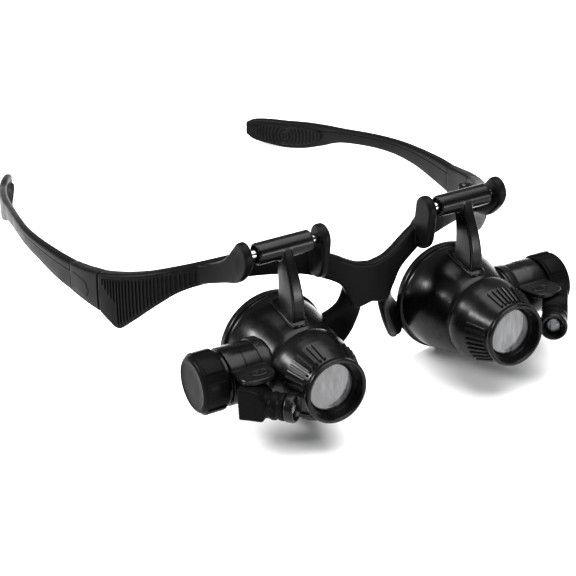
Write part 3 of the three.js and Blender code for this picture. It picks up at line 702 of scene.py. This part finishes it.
def temple_section(depth, top, bottom, radius, crown):
    """A rounded bar whose upper quarter stands a little proud of the faces below it."""
    height = top - bottom
    r = min(radius, depth * CORNER_SHARE, height * CORNER_SHARE)
    line = top - height * LINE_SHARE
    step = min(0.22, depth * 0.08)
    groove = min(0.22, height * 0.04)
    face = depth - step * 0.5
    valley = depth - step * 1.6
    foot = line - groove * 1.8
    points = arc((depth - r, top - r), r, 90, 0)
    points += [(depth, line + groove * 1.6), (depth, line + groove), (valley, line + groove * 0.4),
               (valley, line - groove * 0.4), (face, line - groove), (face, foot)]
    for i in range(1, 4):
        z = foot + (bottom + r - foot) * i / 4
        points.append((face + crown * 0.5 * math.sin(math.pi * i / 4), z))
    points += arc((face - r, bottom + r), r, 0, -90)
    return points + [(depth - x, z) for x, z in reversed(points)]


def outer_stop():
    """The small raised bar on the outer face of the temple's paddle."""
    steps = 8
    rings = []
    for i in range(steps + 1):
        at = path_at(TEMPLE, STOP_START + STOP_LENGTH * i / steps)
        middle = (at.top + at.bottom) / 2
        size = 1.0 if 0 < i < steps else 0.55
        rings.append([at.point - at.inward * (0.75 * size * squarer(c, 0.7))
                      + Vector((0, 0, middle + 0.9 * size * squarer(s, 0.7))) for c, s in circle(14)])
    return loft(rings)


def temple_arm():
    return merged(band(TEMPLE, 170, 1.0, crown=0.2, section=temple_section, end_round=0.5), outer_stop())


def hinge_block():
    _, middle_low, middle_high, _ = HINGE_Z
    return merged(band(BLOCK, 40, 0.9, crown=0.12),
                  hinge_barrel(middle_low + HINGE_GAP, middle_high - HINGE_GAP, 1))


def release_tab():
    """The U-shaped snap tab on the outer face of the hinge block."""
    steps = 12
    rings = []
    for i in range(steps + 1):
        at = path_at(BLOCK, TAB_START + TAB_LENGTH * i / steps)
        half = TAB_HALF_HEIGHT * math.sqrt(max(0.02, 1 - max(0.0, 1 - i / 3.2) ** 2))
        rings.append([at.point - at.inward * (0.32 * squarer(c, 0.5) - 0.05)
                      + Vector((0, 0, TAB_Z + half * squarer(s, 0.35))) for c, s in circle(20)])
    return loft(rings)


def tip_pad():
    """Oval grip on the inner face of the tip: rings round the middle, cut off by the oval."""
    columns, rows = 150, 44
    start, end = PAD_SPAN
    length = path_length(TEMPLE, start, end)
    front, back, faces = [], [], []
    for i in range(columns + 1):
        u = -1 + 2 * i / columns
        at = path_at(TEMPLE, start + (end - start) * i / columns)
        middle = (at.top + at.bottom) / 2
        half = PAD_HALF_HEIGHT * math.sqrt(max(0.0004, 1 - u * u))
        for j in range(rows + 1):
            v = -1 + 2 * j / rows
            edge = min(1.0, (1 - abs(v)) * half / 0.7, (1 - abs(u)) * length / 2 / 0.9)
            rim = math.sqrt(max(0.0, 1 - (1 - max(0.0, edge)) ** 2))
            distance = math.hypot(u * length / 2, v * half)
            rib = 0.5 + 0.5 * math.cos(2 * math.pi * distance / PAD_RING_PITCH)
            proud = 0.1 + rim * (0.55 + 0.6 * rib * min(1.0, edge * 1.2))
            height = Vector((0, 0, middle + v * half))
            front.append(at.point + at.inward * (at.depth + proud) + height)
            back.append(at.point + at.inward * (at.depth - 0.1) + height)
    stride = rows + 1
    total = len(front)
    for i in range(columns):
        for j in range(rows):
            a, d = i * stride + j, (i + 1) * stride + j
            faces.append((a, a + 1, d + 1, d))
            faces.append((total + d, total + d + 1, total + a + 1, total + a))
    for i in range(columns):
        for j in (0, rows):
            a, d = i * stride + j, (i + 1) * stride + j
            faces.append((a, d, total + d, total + a))
    for i in (0, columns):
        for j in range(rows):
            a = i * stride + j
            faces.append((a, a + 1, total + a + 1, total + a))
    return front + back, faces


def hinge_pin():
    foot, head_top, end = HINGE_Z[0] - 0.1, HINGE_Z[0] + 0.2, HINGE_Z[3] + 0.1
    outline = [(0, foot), (PIN_HEAD_R, foot), (PIN_HEAD_R, head_top), (PIN_R, head_top), (PIN_R, end),
               (0, end)]
    return along_z(turned(softened(outline, 0.12), 40), HINGE_X, HINGE_Y)


def hinge_rod(side):
    low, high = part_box(f"{side}_hinge_rod")
    near, far = sorted(abs(x) / MM for x in (low.x, high.x))
    radius = (high.z - low.z) / 2 / MM
    outline = [(0, near), (radius, near), (radius, far), (0, far)]
    return along_x(turned(softened(outline, 0.3), 64), 0, ROD_Z)


def build_frame():
    origin = Matrix.Translation(Vector((0, ROD.y, ROD.z - ROD_Z)) * MM)
    Space(1, origin).place("front_frame_shell", front_frame(), "frame", "frame_plastic", ["front_frame"],
                           remesh=0.34, smooth=5)
    for side, sign in SIDES.items():
        space = Space(sign, origin)
        temple = f"{side}_temple"
        space.place(f"{side}_grip_ribs", grip_ribs(), "frame", "frame_plastic")
        space.place(f"{side}_hinge_block_shell", hinge_block(), temple, "frame_plastic",
                    [f"{side}_hinge_block"])
        space.place(f"{side}_release_tab", release_tab(), temple, "frame_plastic")
        space.place(f"{side}_temple_arm_shell", temple_arm(), temple, "frame_plastic",
                    [f"{side}_temple_arm"])
        space.place(f"{side}_tip_grip", tip_pad(), temple, "grip_plastic", [f"{side}_tip_pad"], sharp=60)
        space.place(f"{side}_hinge_pin_steel", hinge_pin(), "frame", "steel", [f"{side}_hinge_pin"])
        space.place(f"{side}_chrome_rod", hinge_rod(side), "frame", "chrome_rod", [f"{side}_hinge_rod"])


# ------ Loupe ------
GAP = 0.3  # between the lens holder and the cup
CUP_WALL = 1.6
CUP_BORE_R = 10.5
# radius and station, from the rim to the lens end
RIM_ROLL = (0.85, -0.9)  # of the rounding
RIM_BEAD = (0.7, -2.3)
CUP_NECK = (16.75, -3.15)
CUP_OUTLINE = [(16.6, -3.6), (16.5, -6), (16.0, -10), (15.1, -14), (14.0, -18), (12.9, -21.2)]
CUP_MOUTH = [(15.3, -2.4), (15.6, -0.9), (15.9, -0.2), (16.2, 0)]
# radius, and distance from the lens end
CUP_LIP = [(12.4, 0.35), (12.0, 0), (CUP_BORE_R + 0.2, 0), (CUP_BORE_R, 0.2), (CUP_BORE_R, CUP_WALL)]
# radius and station of the holder's taper
BARREL_OUTLINE = [(12.1, -29.8), (11.2, -32.4), (10.2, -35.0), (9.3, -37.4)]
SEAT_R = 8.9
# radius, and distance from the cup or from the holder's front
HOLDER_SHOULDER = [(12.5, 0), (13.0, 0.5), (13.1, 1.2), (13.1, 2.2), (12.97, 3.4), (12.72, 4.7), (12.4, 6.0)]
HOLDER_LIP = [(9.25, 2.3), (9.7, 1.95), (9.9, 1.6), (9.9, 0.5), (9.5, 0), (SEAT_R, 0), (8.6, 0.3),
              (7.75, 2.9), (7.6, 3.1), (7.6, 3.7), (SEAT_R, 3.7)]
RIB_GROUPS = 3
RIBS_IN_GROUP = 9
RIB_PITCH = 8.4  # degrees
RIB_HALF_ANGLE = math.radians(2.3)
RIB_RISE = 0.72
# middle of the first group of ribs, in degrees from the top towards the outer side
RIB_GROUP_AT = {"left": 44, "right": -104}

LENS_SET_BACK = 1.0
LENS_FRONT_SAG = 0.25
LENS_BACK_SAG = 1.1
SEAT_DEPTH = 0.9
LENS_SEAT = [(7.0, 0.2), (7.62, 0.9), (7.62, 0), (7.0, 0)]  # radius, and distance in front of its back

# distances along the battery tube from the optical axis
TUBE_ROOT = 10.5
TUBE_BAND = (19.0, 19.2)  # start and top of the step up to the raised band
TUBE_SHOULDER = 24.2
TUBE_BORE = 17.8
TUBE_NECK_R = 7.5
TUBE_BORE_R = 6.1
COLLAR = [(11.5, 0.3), (13.9, 0.3), (14.3, 0.12), (14.4, -0.2)]  # distance, and how far it stands out

CAP_SEGMENTS = 6
CAP_STEPS = 432  # points round the cap
CAP_BORE_R = 7.8
SEGMENT_PROUD = 0.55
FACE_ROUND = 0.62  # how far the plain edge draws in for each unit of negative lift
# distance from the cap's mouth, then from its end face, and lift; 1 is the top of a segment, 0 plain
CAP_MOUTH = [(0, -0.15), (0.12, 0.0), (0.45, 0.0), (0.6, 0.55), (0.75, 0.95), (1.0, 1.0), (3.2, 1.0)]
CAP_END = [(1.9, 1.0), (1.65, 0.95), (1.5, 0.55), (1.35, 0.0), (1.1, 0.0), (0.75, -0.25), (0.4, -0.8),
           (0.15, -1.35), (0, -1.9)]
CAP_DISH = [(0.93, 0.0), (0.9, 0.12), (0.87, 0.16), (0.5, 0.16), (0.08, 0.14)]  # share of radius, depth

SLEEVE = [(2.6, -9), (3.0, -9), (3.3, -8.6), (3.3, 8.6), (3.0, 9), (2.6, 9), (2.6, 8.2), (2.45, 8.0),
          (2.45, -8.0), (2.6, -8.2)]
BUSH = [(1.7, -8), (2.35, -8), (2.35, 8), (1.7, 8)]
# from the rod: height, front edge, back edge, half width
ARM = [(1.0, -3.1, 1.6, 1.7), (-2.6, -4.2, 1.5, 1.75), (-6.0, -5.6, 1.1, 1.85), (-9.5, -6.8, 0.9, 1.95),
       (-13.5, -7.7, 1.0, 2.05), (-16.5, -7.9, 1.7, 2.15), (-18.8, -7.8, 2.8, 2.25), (-20.8, -7.7, 3.8, 2.3)]
ARM_STEPS = 40
# distance from the rod, radius of the pad's middle about the optical axis, half width
FOOT = [(-8.9, 13.0, 1.4), (-8.5, 13.4, 2.5), (-6.5, 14.2, 3.0), (-3.0, 15.35, 3.1),
        (1.0, 16.2, 3.1), (4.0, 16.8, 2.9), (4.9, 16.9, 2.2), (5.2, 16.5, 1.4)]


class Round:
    """A node that is round about the loupe's x direction."""

    def __init__(self, low, high):
        self.start, self.end = low.x, high.x
        self.y, self.z = (low.y + high.y) / 2, (low.z + high.z) / 2
        self.radius = (high.y - low.y) / 2

    def ring(self, x, radius, steps):
        return [Vector((x, self.y + radius * c, self.z + radius * s)) for c, s in circle(steps)]


class Loupe:
    """The loupe's own space on one side, and its nodes' boxes in it, in millimetres."""

    def __init__(self, side):
        self.side = side
        twist = JOINTS[f"{side}_lens_twist"]
        back = -Vector(twist["axis"])
        up = Vector((1, 0, 0)).cross(back)
        centre = Vector(twist["pos_m"])
        reach = max((v.co - centre).dot(back) for v in NODES[f"{side}_eye_cup"].data.vertices)
        axes = Matrix((Vector((1, 0, 0)), back, up)).transposed().to_4x4()
        self.space = Space(SIDES[side], Matrix.Translation(centre + back * reach) @ axes)
        self.inverse = self.space.matrix.inverted()

    def local(self, point):
        return self.inverse @ Vector(point)

    def box(self, node):
        points = [self.inverse @ v.co for v in NODES[f"{self.side}_{node}"].data.vertices]
        low = Vector([min(p[i] for p in points) for i in range(3)])
        high = Vector([max(p[i] for p in points) for i in range(3)])
        return low, high

    def place(self, name, part, body, slot, nodes=(), **how):
        prefixed = [f"{self.side}_{node}" for node in nodes]
        self.space.place(f"{self.side}_{name}", part, f"{self.side}_{body}", slot, prefixed, **how)


def eye_cup(loupe):
    low, high = loupe.box("eye_cup")
    rim_r, front = high.x, low.y
    bell = curve(CUP_OUTLINE, 22)
    profile = []
    for (radius, y), start, end in ((RIM_ROLL, 90, 0), (RIM_BEAD, 0, -80)):
        profile += arc((rim_r - radius, y), radius, start, end)
    profile += [CUP_NECK] + bell
    profile += [(radius, front + y) for radius, y in CUP_LIP]
    profile += [(radius - CUP_WALL, y) for radius, y in reversed(bell) if y > front + CUP_WALL]
    return turned(profile + CUP_MOUTH, 160)


def root_collar(loupe):
    """The low collar where the battery tube grows out of the bell."""
    tube = Round(*loupe.box("battery_housing"))
    return loft([tube.ring(x, tube.radius + grow, 96) for x, grow in COLLAR])


def battery_tube(loupe):
    """The tube, with a thin raised band next to the cap and the neck that the cap turns on."""
    tube = Round(*loupe.box("battery_housing"))
    plain = tube.radius - 0.14
    band_start, band_top = TUBE_BAND
    profile = [(0, TUBE_ROOT), (plain, TUBE_ROOT), (plain, band_start), (tube.radius, band_top),
               (tube.radius, TUBE_SHOULDER), (TUBE_NECK_R, TUBE_SHOULDER), (TUBE_NECK_R, tube.end),
               (TUBE_BORE_R, tube.end), (TUBE_BORE_R, TUBE_BORE), (0, TUBE_BORE)]
    return along_x(turned(softened(profile, 0.3)), tube.y, tube.z)


def segment_height(angle):
    """1 on a raised segment of the cap and 0 between two, with a smooth step at each side."""
    phase = (angle * CAP_SEGMENTS / (2 * math.pi) + 0.5) % 1.0
    from_middle = abs(phase - 0.5) * 2
    raised = 1 - min(1.0, max(0.0, (from_middle - 0.66) / 0.07))
    return raised * raised * (3 - 2 * raised)


def battery_cap(loupe):
    """A cap with raised segments round it and a shallow dish in its end face."""
    cap = Round(*loupe.box("battery_cap"))
    flat = cap.radius - SEGMENT_PROUD
    floor, step = cap.end - 2.2, cap.end - 3.6
    inside = ((floor, TUBE_BORE_R), (step, TUBE_BORE_R), (step, CAP_BORE_R), (cap.start, CAP_BORE_R))
    rings = [cap.ring(x, radius, CAP_STEPS) for x, radius in inside]
    stations = [(cap.start + x, lift) for x, lift in CAP_MOUTH]
    stations += [(cap.end - x, lift) for x, lift in CAP_END]
    for x, lift in stations:
        ring = []
        for k in range(CAP_STEPS):
            angle = 2 * math.pi * k / CAP_STEPS
            if lift > 0:
                radius = flat + (cap.radius - flat) * segment_height(angle) * lift
            else:
                radius = flat + lift * FACE_ROUND
            ring.append(Vector((x, cap.y + radius * math.cos(angle), cap.z + radius * math.sin(angle))))
        rings.append(ring)
    face_r = flat + CAP_END[-1][1] * FACE_ROUND
    rings += [cap.ring(cap.end - depth, face_r * share, CAP_STEPS) for share, depth in CAP_DISH]
    return loft(rings)


def lens_holder(loupe):
    low, high = loupe.box("lens_holder")
    back, front = high.y, low.y
    shoulder = loupe.box("eye_cup")[0].y - GAP
    spigot_r = CUP_BORE_R - GAP
    profile = [(SEAT_R, back), (spigot_r, back), (spigot_r, shoulder)]
    profile += [(radius, shoulder - y) for radius, y in HOLDER_SHOULDER]
    profile += curve(BARREL_OUTLINE, 12)
    profile += [(radius, front + y) for radius, y in HOLDER_LIP]
    return turned(softened(profile, 0.28), 160)


def holder_rib(turn):
    """One grip rib along the narrowing part, at this angle round the optical axis."""
    steps = 16
    rings = []
    for k in range(steps + 1):
        u = k / steps
        radius, y = catmull(BARREL_OUTLINE, 0.06 + 0.9 * u)
        rise = min(1.0, 7 * math.sin(math.pi * u)) * RIB_RISE + 0.03
        half = RIB_HALF_ANGLE * min(1.0, 0.5 + 4 * math.sin(math.pi * u))
        ring = []
        for c, s in circle(12):
            r = radius + rise * (squarer(s, 0.6) if s > 0 else 0.5 * s)
            a = turn + half * squarer(c, 0.7)
            ring.append(Vector((r * math.sin(a), y, r * math.cos(a))))
        rings.append(ring)
    return loft(rings)


def holder_ribs(first_group):
    """The groups of grip ribs on the lens holder."""
    ribs = []
    for group in range(RIB_GROUPS):
        for i in range(RIBS_IN_GROUP):
            from_middle = (i - (RIBS_IN_GROUP - 1) / 2) * RIB_PITCH
            ribs.append(holder_rib(math.radians(first_group + group * 360 / RIB_GROUPS + from_middle)))
    return merged(*ribs)


def lens(loupe):
    """A plano-convex lens: its nearly flat face looks out, set back behind the seat."""
    low, high = loupe.box("lens")
    radius = high.x
    front = low.y + LENS_SET_BACK
    steps = 24
    radii = [radius * i / steps for i in range(steps + 1)]
    profile = [(r, front + LENS_FRONT_SAG * (r / radius) ** 2) for r in radii]
    profile += [(r, high.y - LENS_BACK_SAG * (r / radius) ** 2) for r in reversed(radii)]
    return turned(profile, closed=False)


def lens_seat(loupe):
    """The inner ring between the throat and the glass."""
    back = loupe.box("lens")[0].y + SEAT_DEPTH
    return turned(softened([(radius, back - y) for radius, y in LENS_SEAT], 0.12))


def sleeve_arm(rod):
    y, z = rod
    sleeve = along_x(turned(softened(SLEEVE, 0.15), 96), y, z)
    stations = [(z + height, y + front, y + rear, half) for height, front, rear, half in ARM]
    rings = []
    for i in range(ARM_STEPS + 1):
        height, front, rear, half = catmull(stations, i / ARM_STEPS)
        outline = rounded_section(2 * half, rear, front, 0.75, 0.1)
        rings.append([Vector((x - half, along, height)) for x, along in outline])
    return merged(sleeve, loft(rings, 0.3))


def arm_foot(rod):
    """The low pad between the arm and the bell; its edge is the step line round the foot."""
    y, _ = rod
    rings = []
    for along, radius, half in FOOT:
        ring = []
        for c, s in circle(24):
            x = half * squarer(c, 0.5)
            height = math.sqrt(max(1.0, radius * radius - x * x))
            ring.append(Vector((x, y + along, height + 0.75 * squarer(s, 0.5))))
        rings.append(ring)
    return loft(rings)


# ------ Lamp: the plate is in the loupe's space, the rest along +y from the swivel's axis ------
LAMP_TURN = math.radians(40)
BRACKET_EDGE = [(13.4, -21.0), (23.7, -21.0), (24.1, -24.0), (24.4, -27.0), (24.3, -29.2), (23.4, -30.8),
                (21.3, -31.5), (18.6, -31.8), (16.2, -31.5), (14.6, -30.2), (13.6, -27.6), (13.2, -24.0)]
BRACKET_THICKNESS = 1.6
SWITCH_LIP_HALF = (2.5, 1.35)
SWITCH_LIP = [(0.0, -0.4), (0.0, 0.12), (0.18, 0.2), (0.36, 0.12), (0.36, -0.4)]  # outwards, upwards
KNOB_HALF = (1.05, 0.7)
RIDGE_HALF = (0.16, 0.62)
RIDGES = (-0.6, 0.0, 0.6)
ELBOW_HALF_WIDTH = 3.85
ELBOW_EDGE = [(0.0, 0.7), (0.2, 0.25), (0.7, 0.0)]  # distance from a side, and inset
ELBOW_BACK = -2.9
NOSE_AT, NOSE_REACH, NOSE_RISE = 0.6, 4.9, 4.6  # middle and half axes of its rounded front
BEAD_X = 3.78
BEAD_HALF = (0.2, 0.17)
LAMP_BARREL = [(0, 0.5), (3.8, 0.5), (3.8, 6.3), (4.1, 6.5), (4.1, 7.8), (3.8, 8.0), (3.8, 8.9),
               (4.05, 9.1), (4.05, 10.5), (2.9, 10.5), (2.9, 8.2), (0, 8.2)]
HOOD = [(2.9, 10.9), (4.1, 10.9), (4.3, 11.3), (4.3, 13.1), (4.0, 13.6), (3.5, 13.6), (3.1, 12.8),
        (2.9, 12.0)]
LED_R = 2.5
LED_DOME_AT = 10.5
LED_CUP = [(0, 9.6), (0.9, 9.6), (1.25, 10.7), (1.05, 10.7), (0.75, 9.95), (0, 9.95)]
LED_POSTS = (-0.7, 0.75)


def lamp_bracket(loupe):
    top = loupe.box("lamp_bracket")[1].z
    outline = curve(BRACKET_EDGE + BRACKET_EDGE[:1], 72)[:-1]
    return prism(outline, top - BRACKET_THICKNESS, top, bevel=0.22)


def switch_lip(loupe, switch):
    """A raised oval lip round the slide switch."""
    top = loupe.box("lamp_bracket")[1].z
    x, y = switch
    half_x, half_y = SWITCH_LIP_HALF
    steps = 48
    points, faces = [], []
    for grow, lift in SWITCH_LIP:
        points += [Vector((x + (half_x + grow) * c, y + (half_y + grow) * s, top + lift))
                   for c, s in circle(steps)]
    for r in range(len(SWITCH_LIP)):
        faces += quads(r * steps, (r + 1) % len(SWITCH_LIP) * steps, steps)
    return points, faces


def switch_knob(loupe, switch):
    low, high = loupe.box("switch_slider")
    x, y = switch
    knob = block(x, y, KNOB_HALF, (low.z + 0.4, high.z - 0.35), 0.16)
    ridges = [block(x + dx, y, RIDGE_HALF, (high.z - 0.6, high.z), 0.08) for dx in RIDGES]
    return merged(knob, *ridges)


def fender(low, high):
    """A block along the lamp's axis whose front rounds down from the top like a mudguard."""
    side = [(ELBOW_BACK, low), (4.2, low), (5.0, low + 1.0), (5.4, 0.4)]
    side += [(NOSE_AT + NOSE_REACH * math.cos(a), high - NOSE_RISE + NOSE_RISE * math.sin(a))
             for a in (math.radians(d) for d in range(8, 91, 8))]
    outline = softened(side + [(ELBOW_BACK, high)], 0.5)
    middle = Vector((sum(p[0] for p in outline), sum(p[1] for p in outline))) / len(outline)
    slices = [(x - ELBOW_HALF_WIDTH, shrink) for x, shrink in ELBOW_EDGE]
    slices += [(ELBOW_HALF_WIDTH - x, shrink) for x, shrink in reversed(ELBOW_EDGE)]
    rings = []
    for x, shrink in slices:
        ring = []
        for along, z in outline:
            away = Vector((along, z)) - middle
            near = middle + away * (1 - shrink / away.length)
            ring.append(Vector((x, near.x, near.y)))
        rings.append(ring)
    return loft(rings)


def lamp_knuckle(loupe, swivel):
    """The elbow under the bracket plate, and the ringed barrel that grows out of its front."""
    low, high = loupe.box("lamp_knuckle")
    elbow = fender(low.z - swivel.z, high.z - swivel.z)
    return merged(elbow, turned(softened(LAMP_BARREL, 0.14), 80))


def parting_beads():
    """The parting bead that runs forward and down across each of the elbow's two sides."""
    steps = 12
    beads = []
    for side in (-1, 1):
        rings = []
        for k in range(steps + 1):
            u = k / steps
            along, z = -2.7 + 7.2 * u, 0.4 - 0.3 * u - 2.6 * u * u
            rings.append([Vector((side * (BEAD_X + BEAD_HALF[0] * c), along, z + BEAD_HALF[1] * s))
                          for c, s in circle(8)])
        beads.append(loft(rings))
    return merged(*beads)


def led_dome():
    """A flanged LED with a half-round front."""
    flange_r = LED_R + 0.25
    profile = [(0, LED_DOME_AT - 2), (flange_r, LED_DOME_AT - 2), (flange_r, LED_DOME_AT - 1.4),
               (LED_R, LED_DOME_AT - 1.3)]
    profile += [(LED_R * math.cos(math.radians(a)), LED_DOME_AT + LED_R * math.sin(math.radians(a)))
                for a in range(0, 90, 6)]
    profile += [(0, LED_DOME_AT + LED_R)]
    return turned(profile, 72, closed=False)


def led_cup():
    """The reflector cup and lead posts seen through the clear LED."""
    posts = [box((x - 0.25, x + 0.25), (8.6, 10.6), (-0.22, 0.22), 0.04) for x in LED_POSTS]
    return merged(turned(LED_CUP, 40), *posts)


def build_loupe(side):
    loupe = Loupe(side)
    tilt = loupe.local(JOINTS[f"{side}_loupe_tilt"]["pos_m"])
    rod = (tilt.y, tilt.z)
    swivel = loupe.local(JOINTS[f"{side}_lamp_swivel"]["pos_m"])
    lamp = Matrix.Translation(swivel) @ Matrix.Rotation(math.pi - LAMP_TURN, 4, "Z")
    slider_low, slider_high = loupe.box("switch_slider")
    switch = ((slider_low.x + slider_high.x) / 2, (slider_low.y + slider_high.y) / 2)

    bush = along_x(turned(softened(BUSH, 0.15), 64), *rod)
    loupe.place("bush_ring", bush, "slider", "bush_plastic", ["friction_bush"])
    loupe.place("sleeve_and_arm", sleeve_arm(rod), "loupe", "loupe_plastic", ["sleeve_arm"],
                remesh=0.24, smooth=4)
    loupe.place("arm_foot", arm_foot(rod), "loupe", "loupe_plastic")
    loupe.place("eye_bell", eye_cup(loupe), "loupe", "loupe_plastic", ["eye_cup"], sharp=30)
    loupe.place("tube_root", root_collar(loupe), "loupe", "loupe_plastic")
    loupe.place("battery_tube", battery_tube(loupe), "loupe", "loupe_plastic", ["battery_housing"])
    loupe.place("battery_lid", battery_cap(loupe), "cap", "cap_plastic", ["battery_cap"], sharp=50)
    loupe.place("lens_barrel", lens_holder(loupe), "lens_unit", "holder_plastic", ["lens_holder"])
    loupe.place("lens_barrel_ribs", holder_ribs(RIB_GROUP_AT[side]), "lens_unit", "holder_plastic")
    loupe.place("lens_glass", lens(loupe), "lens_unit", "lens_glass", ["lens"], sharp=60)
    loupe.place("lens_seat", lens_seat(loupe), "lens_unit", "cap_plastic")
    loupe.place("lamp_plate", lamp_bracket(loupe), "loupe", "loupe_plastic", ["lamp_bracket"])
    loupe.place("switch_lip", switch_lip(loupe, switch), "loupe", "loupe_plastic")
    loupe.place("switch_knob", switch_knob(loupe, switch), "switch", "bush_plastic", ["switch_slider"])
    loupe.place("lamp_elbow", moved(lamp_knuckle(loupe, swivel), lamp), "lamp", "cap_plastic",
                ["lamp_knuckle"], remesh=0.17, smooth=2)
    loupe.place("lamp_parting_ring", moved(parting_beads(), lamp), "lamp", "cap_plastic")
    hood = moved(turned(softened(HOOD, 0.18), 96), lamp)
    loupe.place("lamp_bezel", hood, "lamp", "holder_plastic", ["lamp_hood"])
    loupe.place("led_dome", moved(led_dome(), lamp), "lamp", "led_clear", ["led"], sharp=50)
    loupe.place("led_cup", moved(led_cup(), lamp), "lamp", "chrome_rod")


# ------ The scene ------
def finish_cad_nodes():
    """CAD nodes that keep their own shape get the finish of their slot."""
    slots = {entry["node"]: entry["material_slot"] for entry in frame["record"]["subparts"]}
    for name, node in NODES.items():
        node.data.materials.clear()
        node.data.materials.append(FINISHES[slots[name]])


finish_cad_nodes()
add_camera()
add_world()
for light in AREA_LIGHTS:
    add_area_light(*light)
add_floor()
build_frame()
for side_name in SIDES:
    build_loupe(side_name)
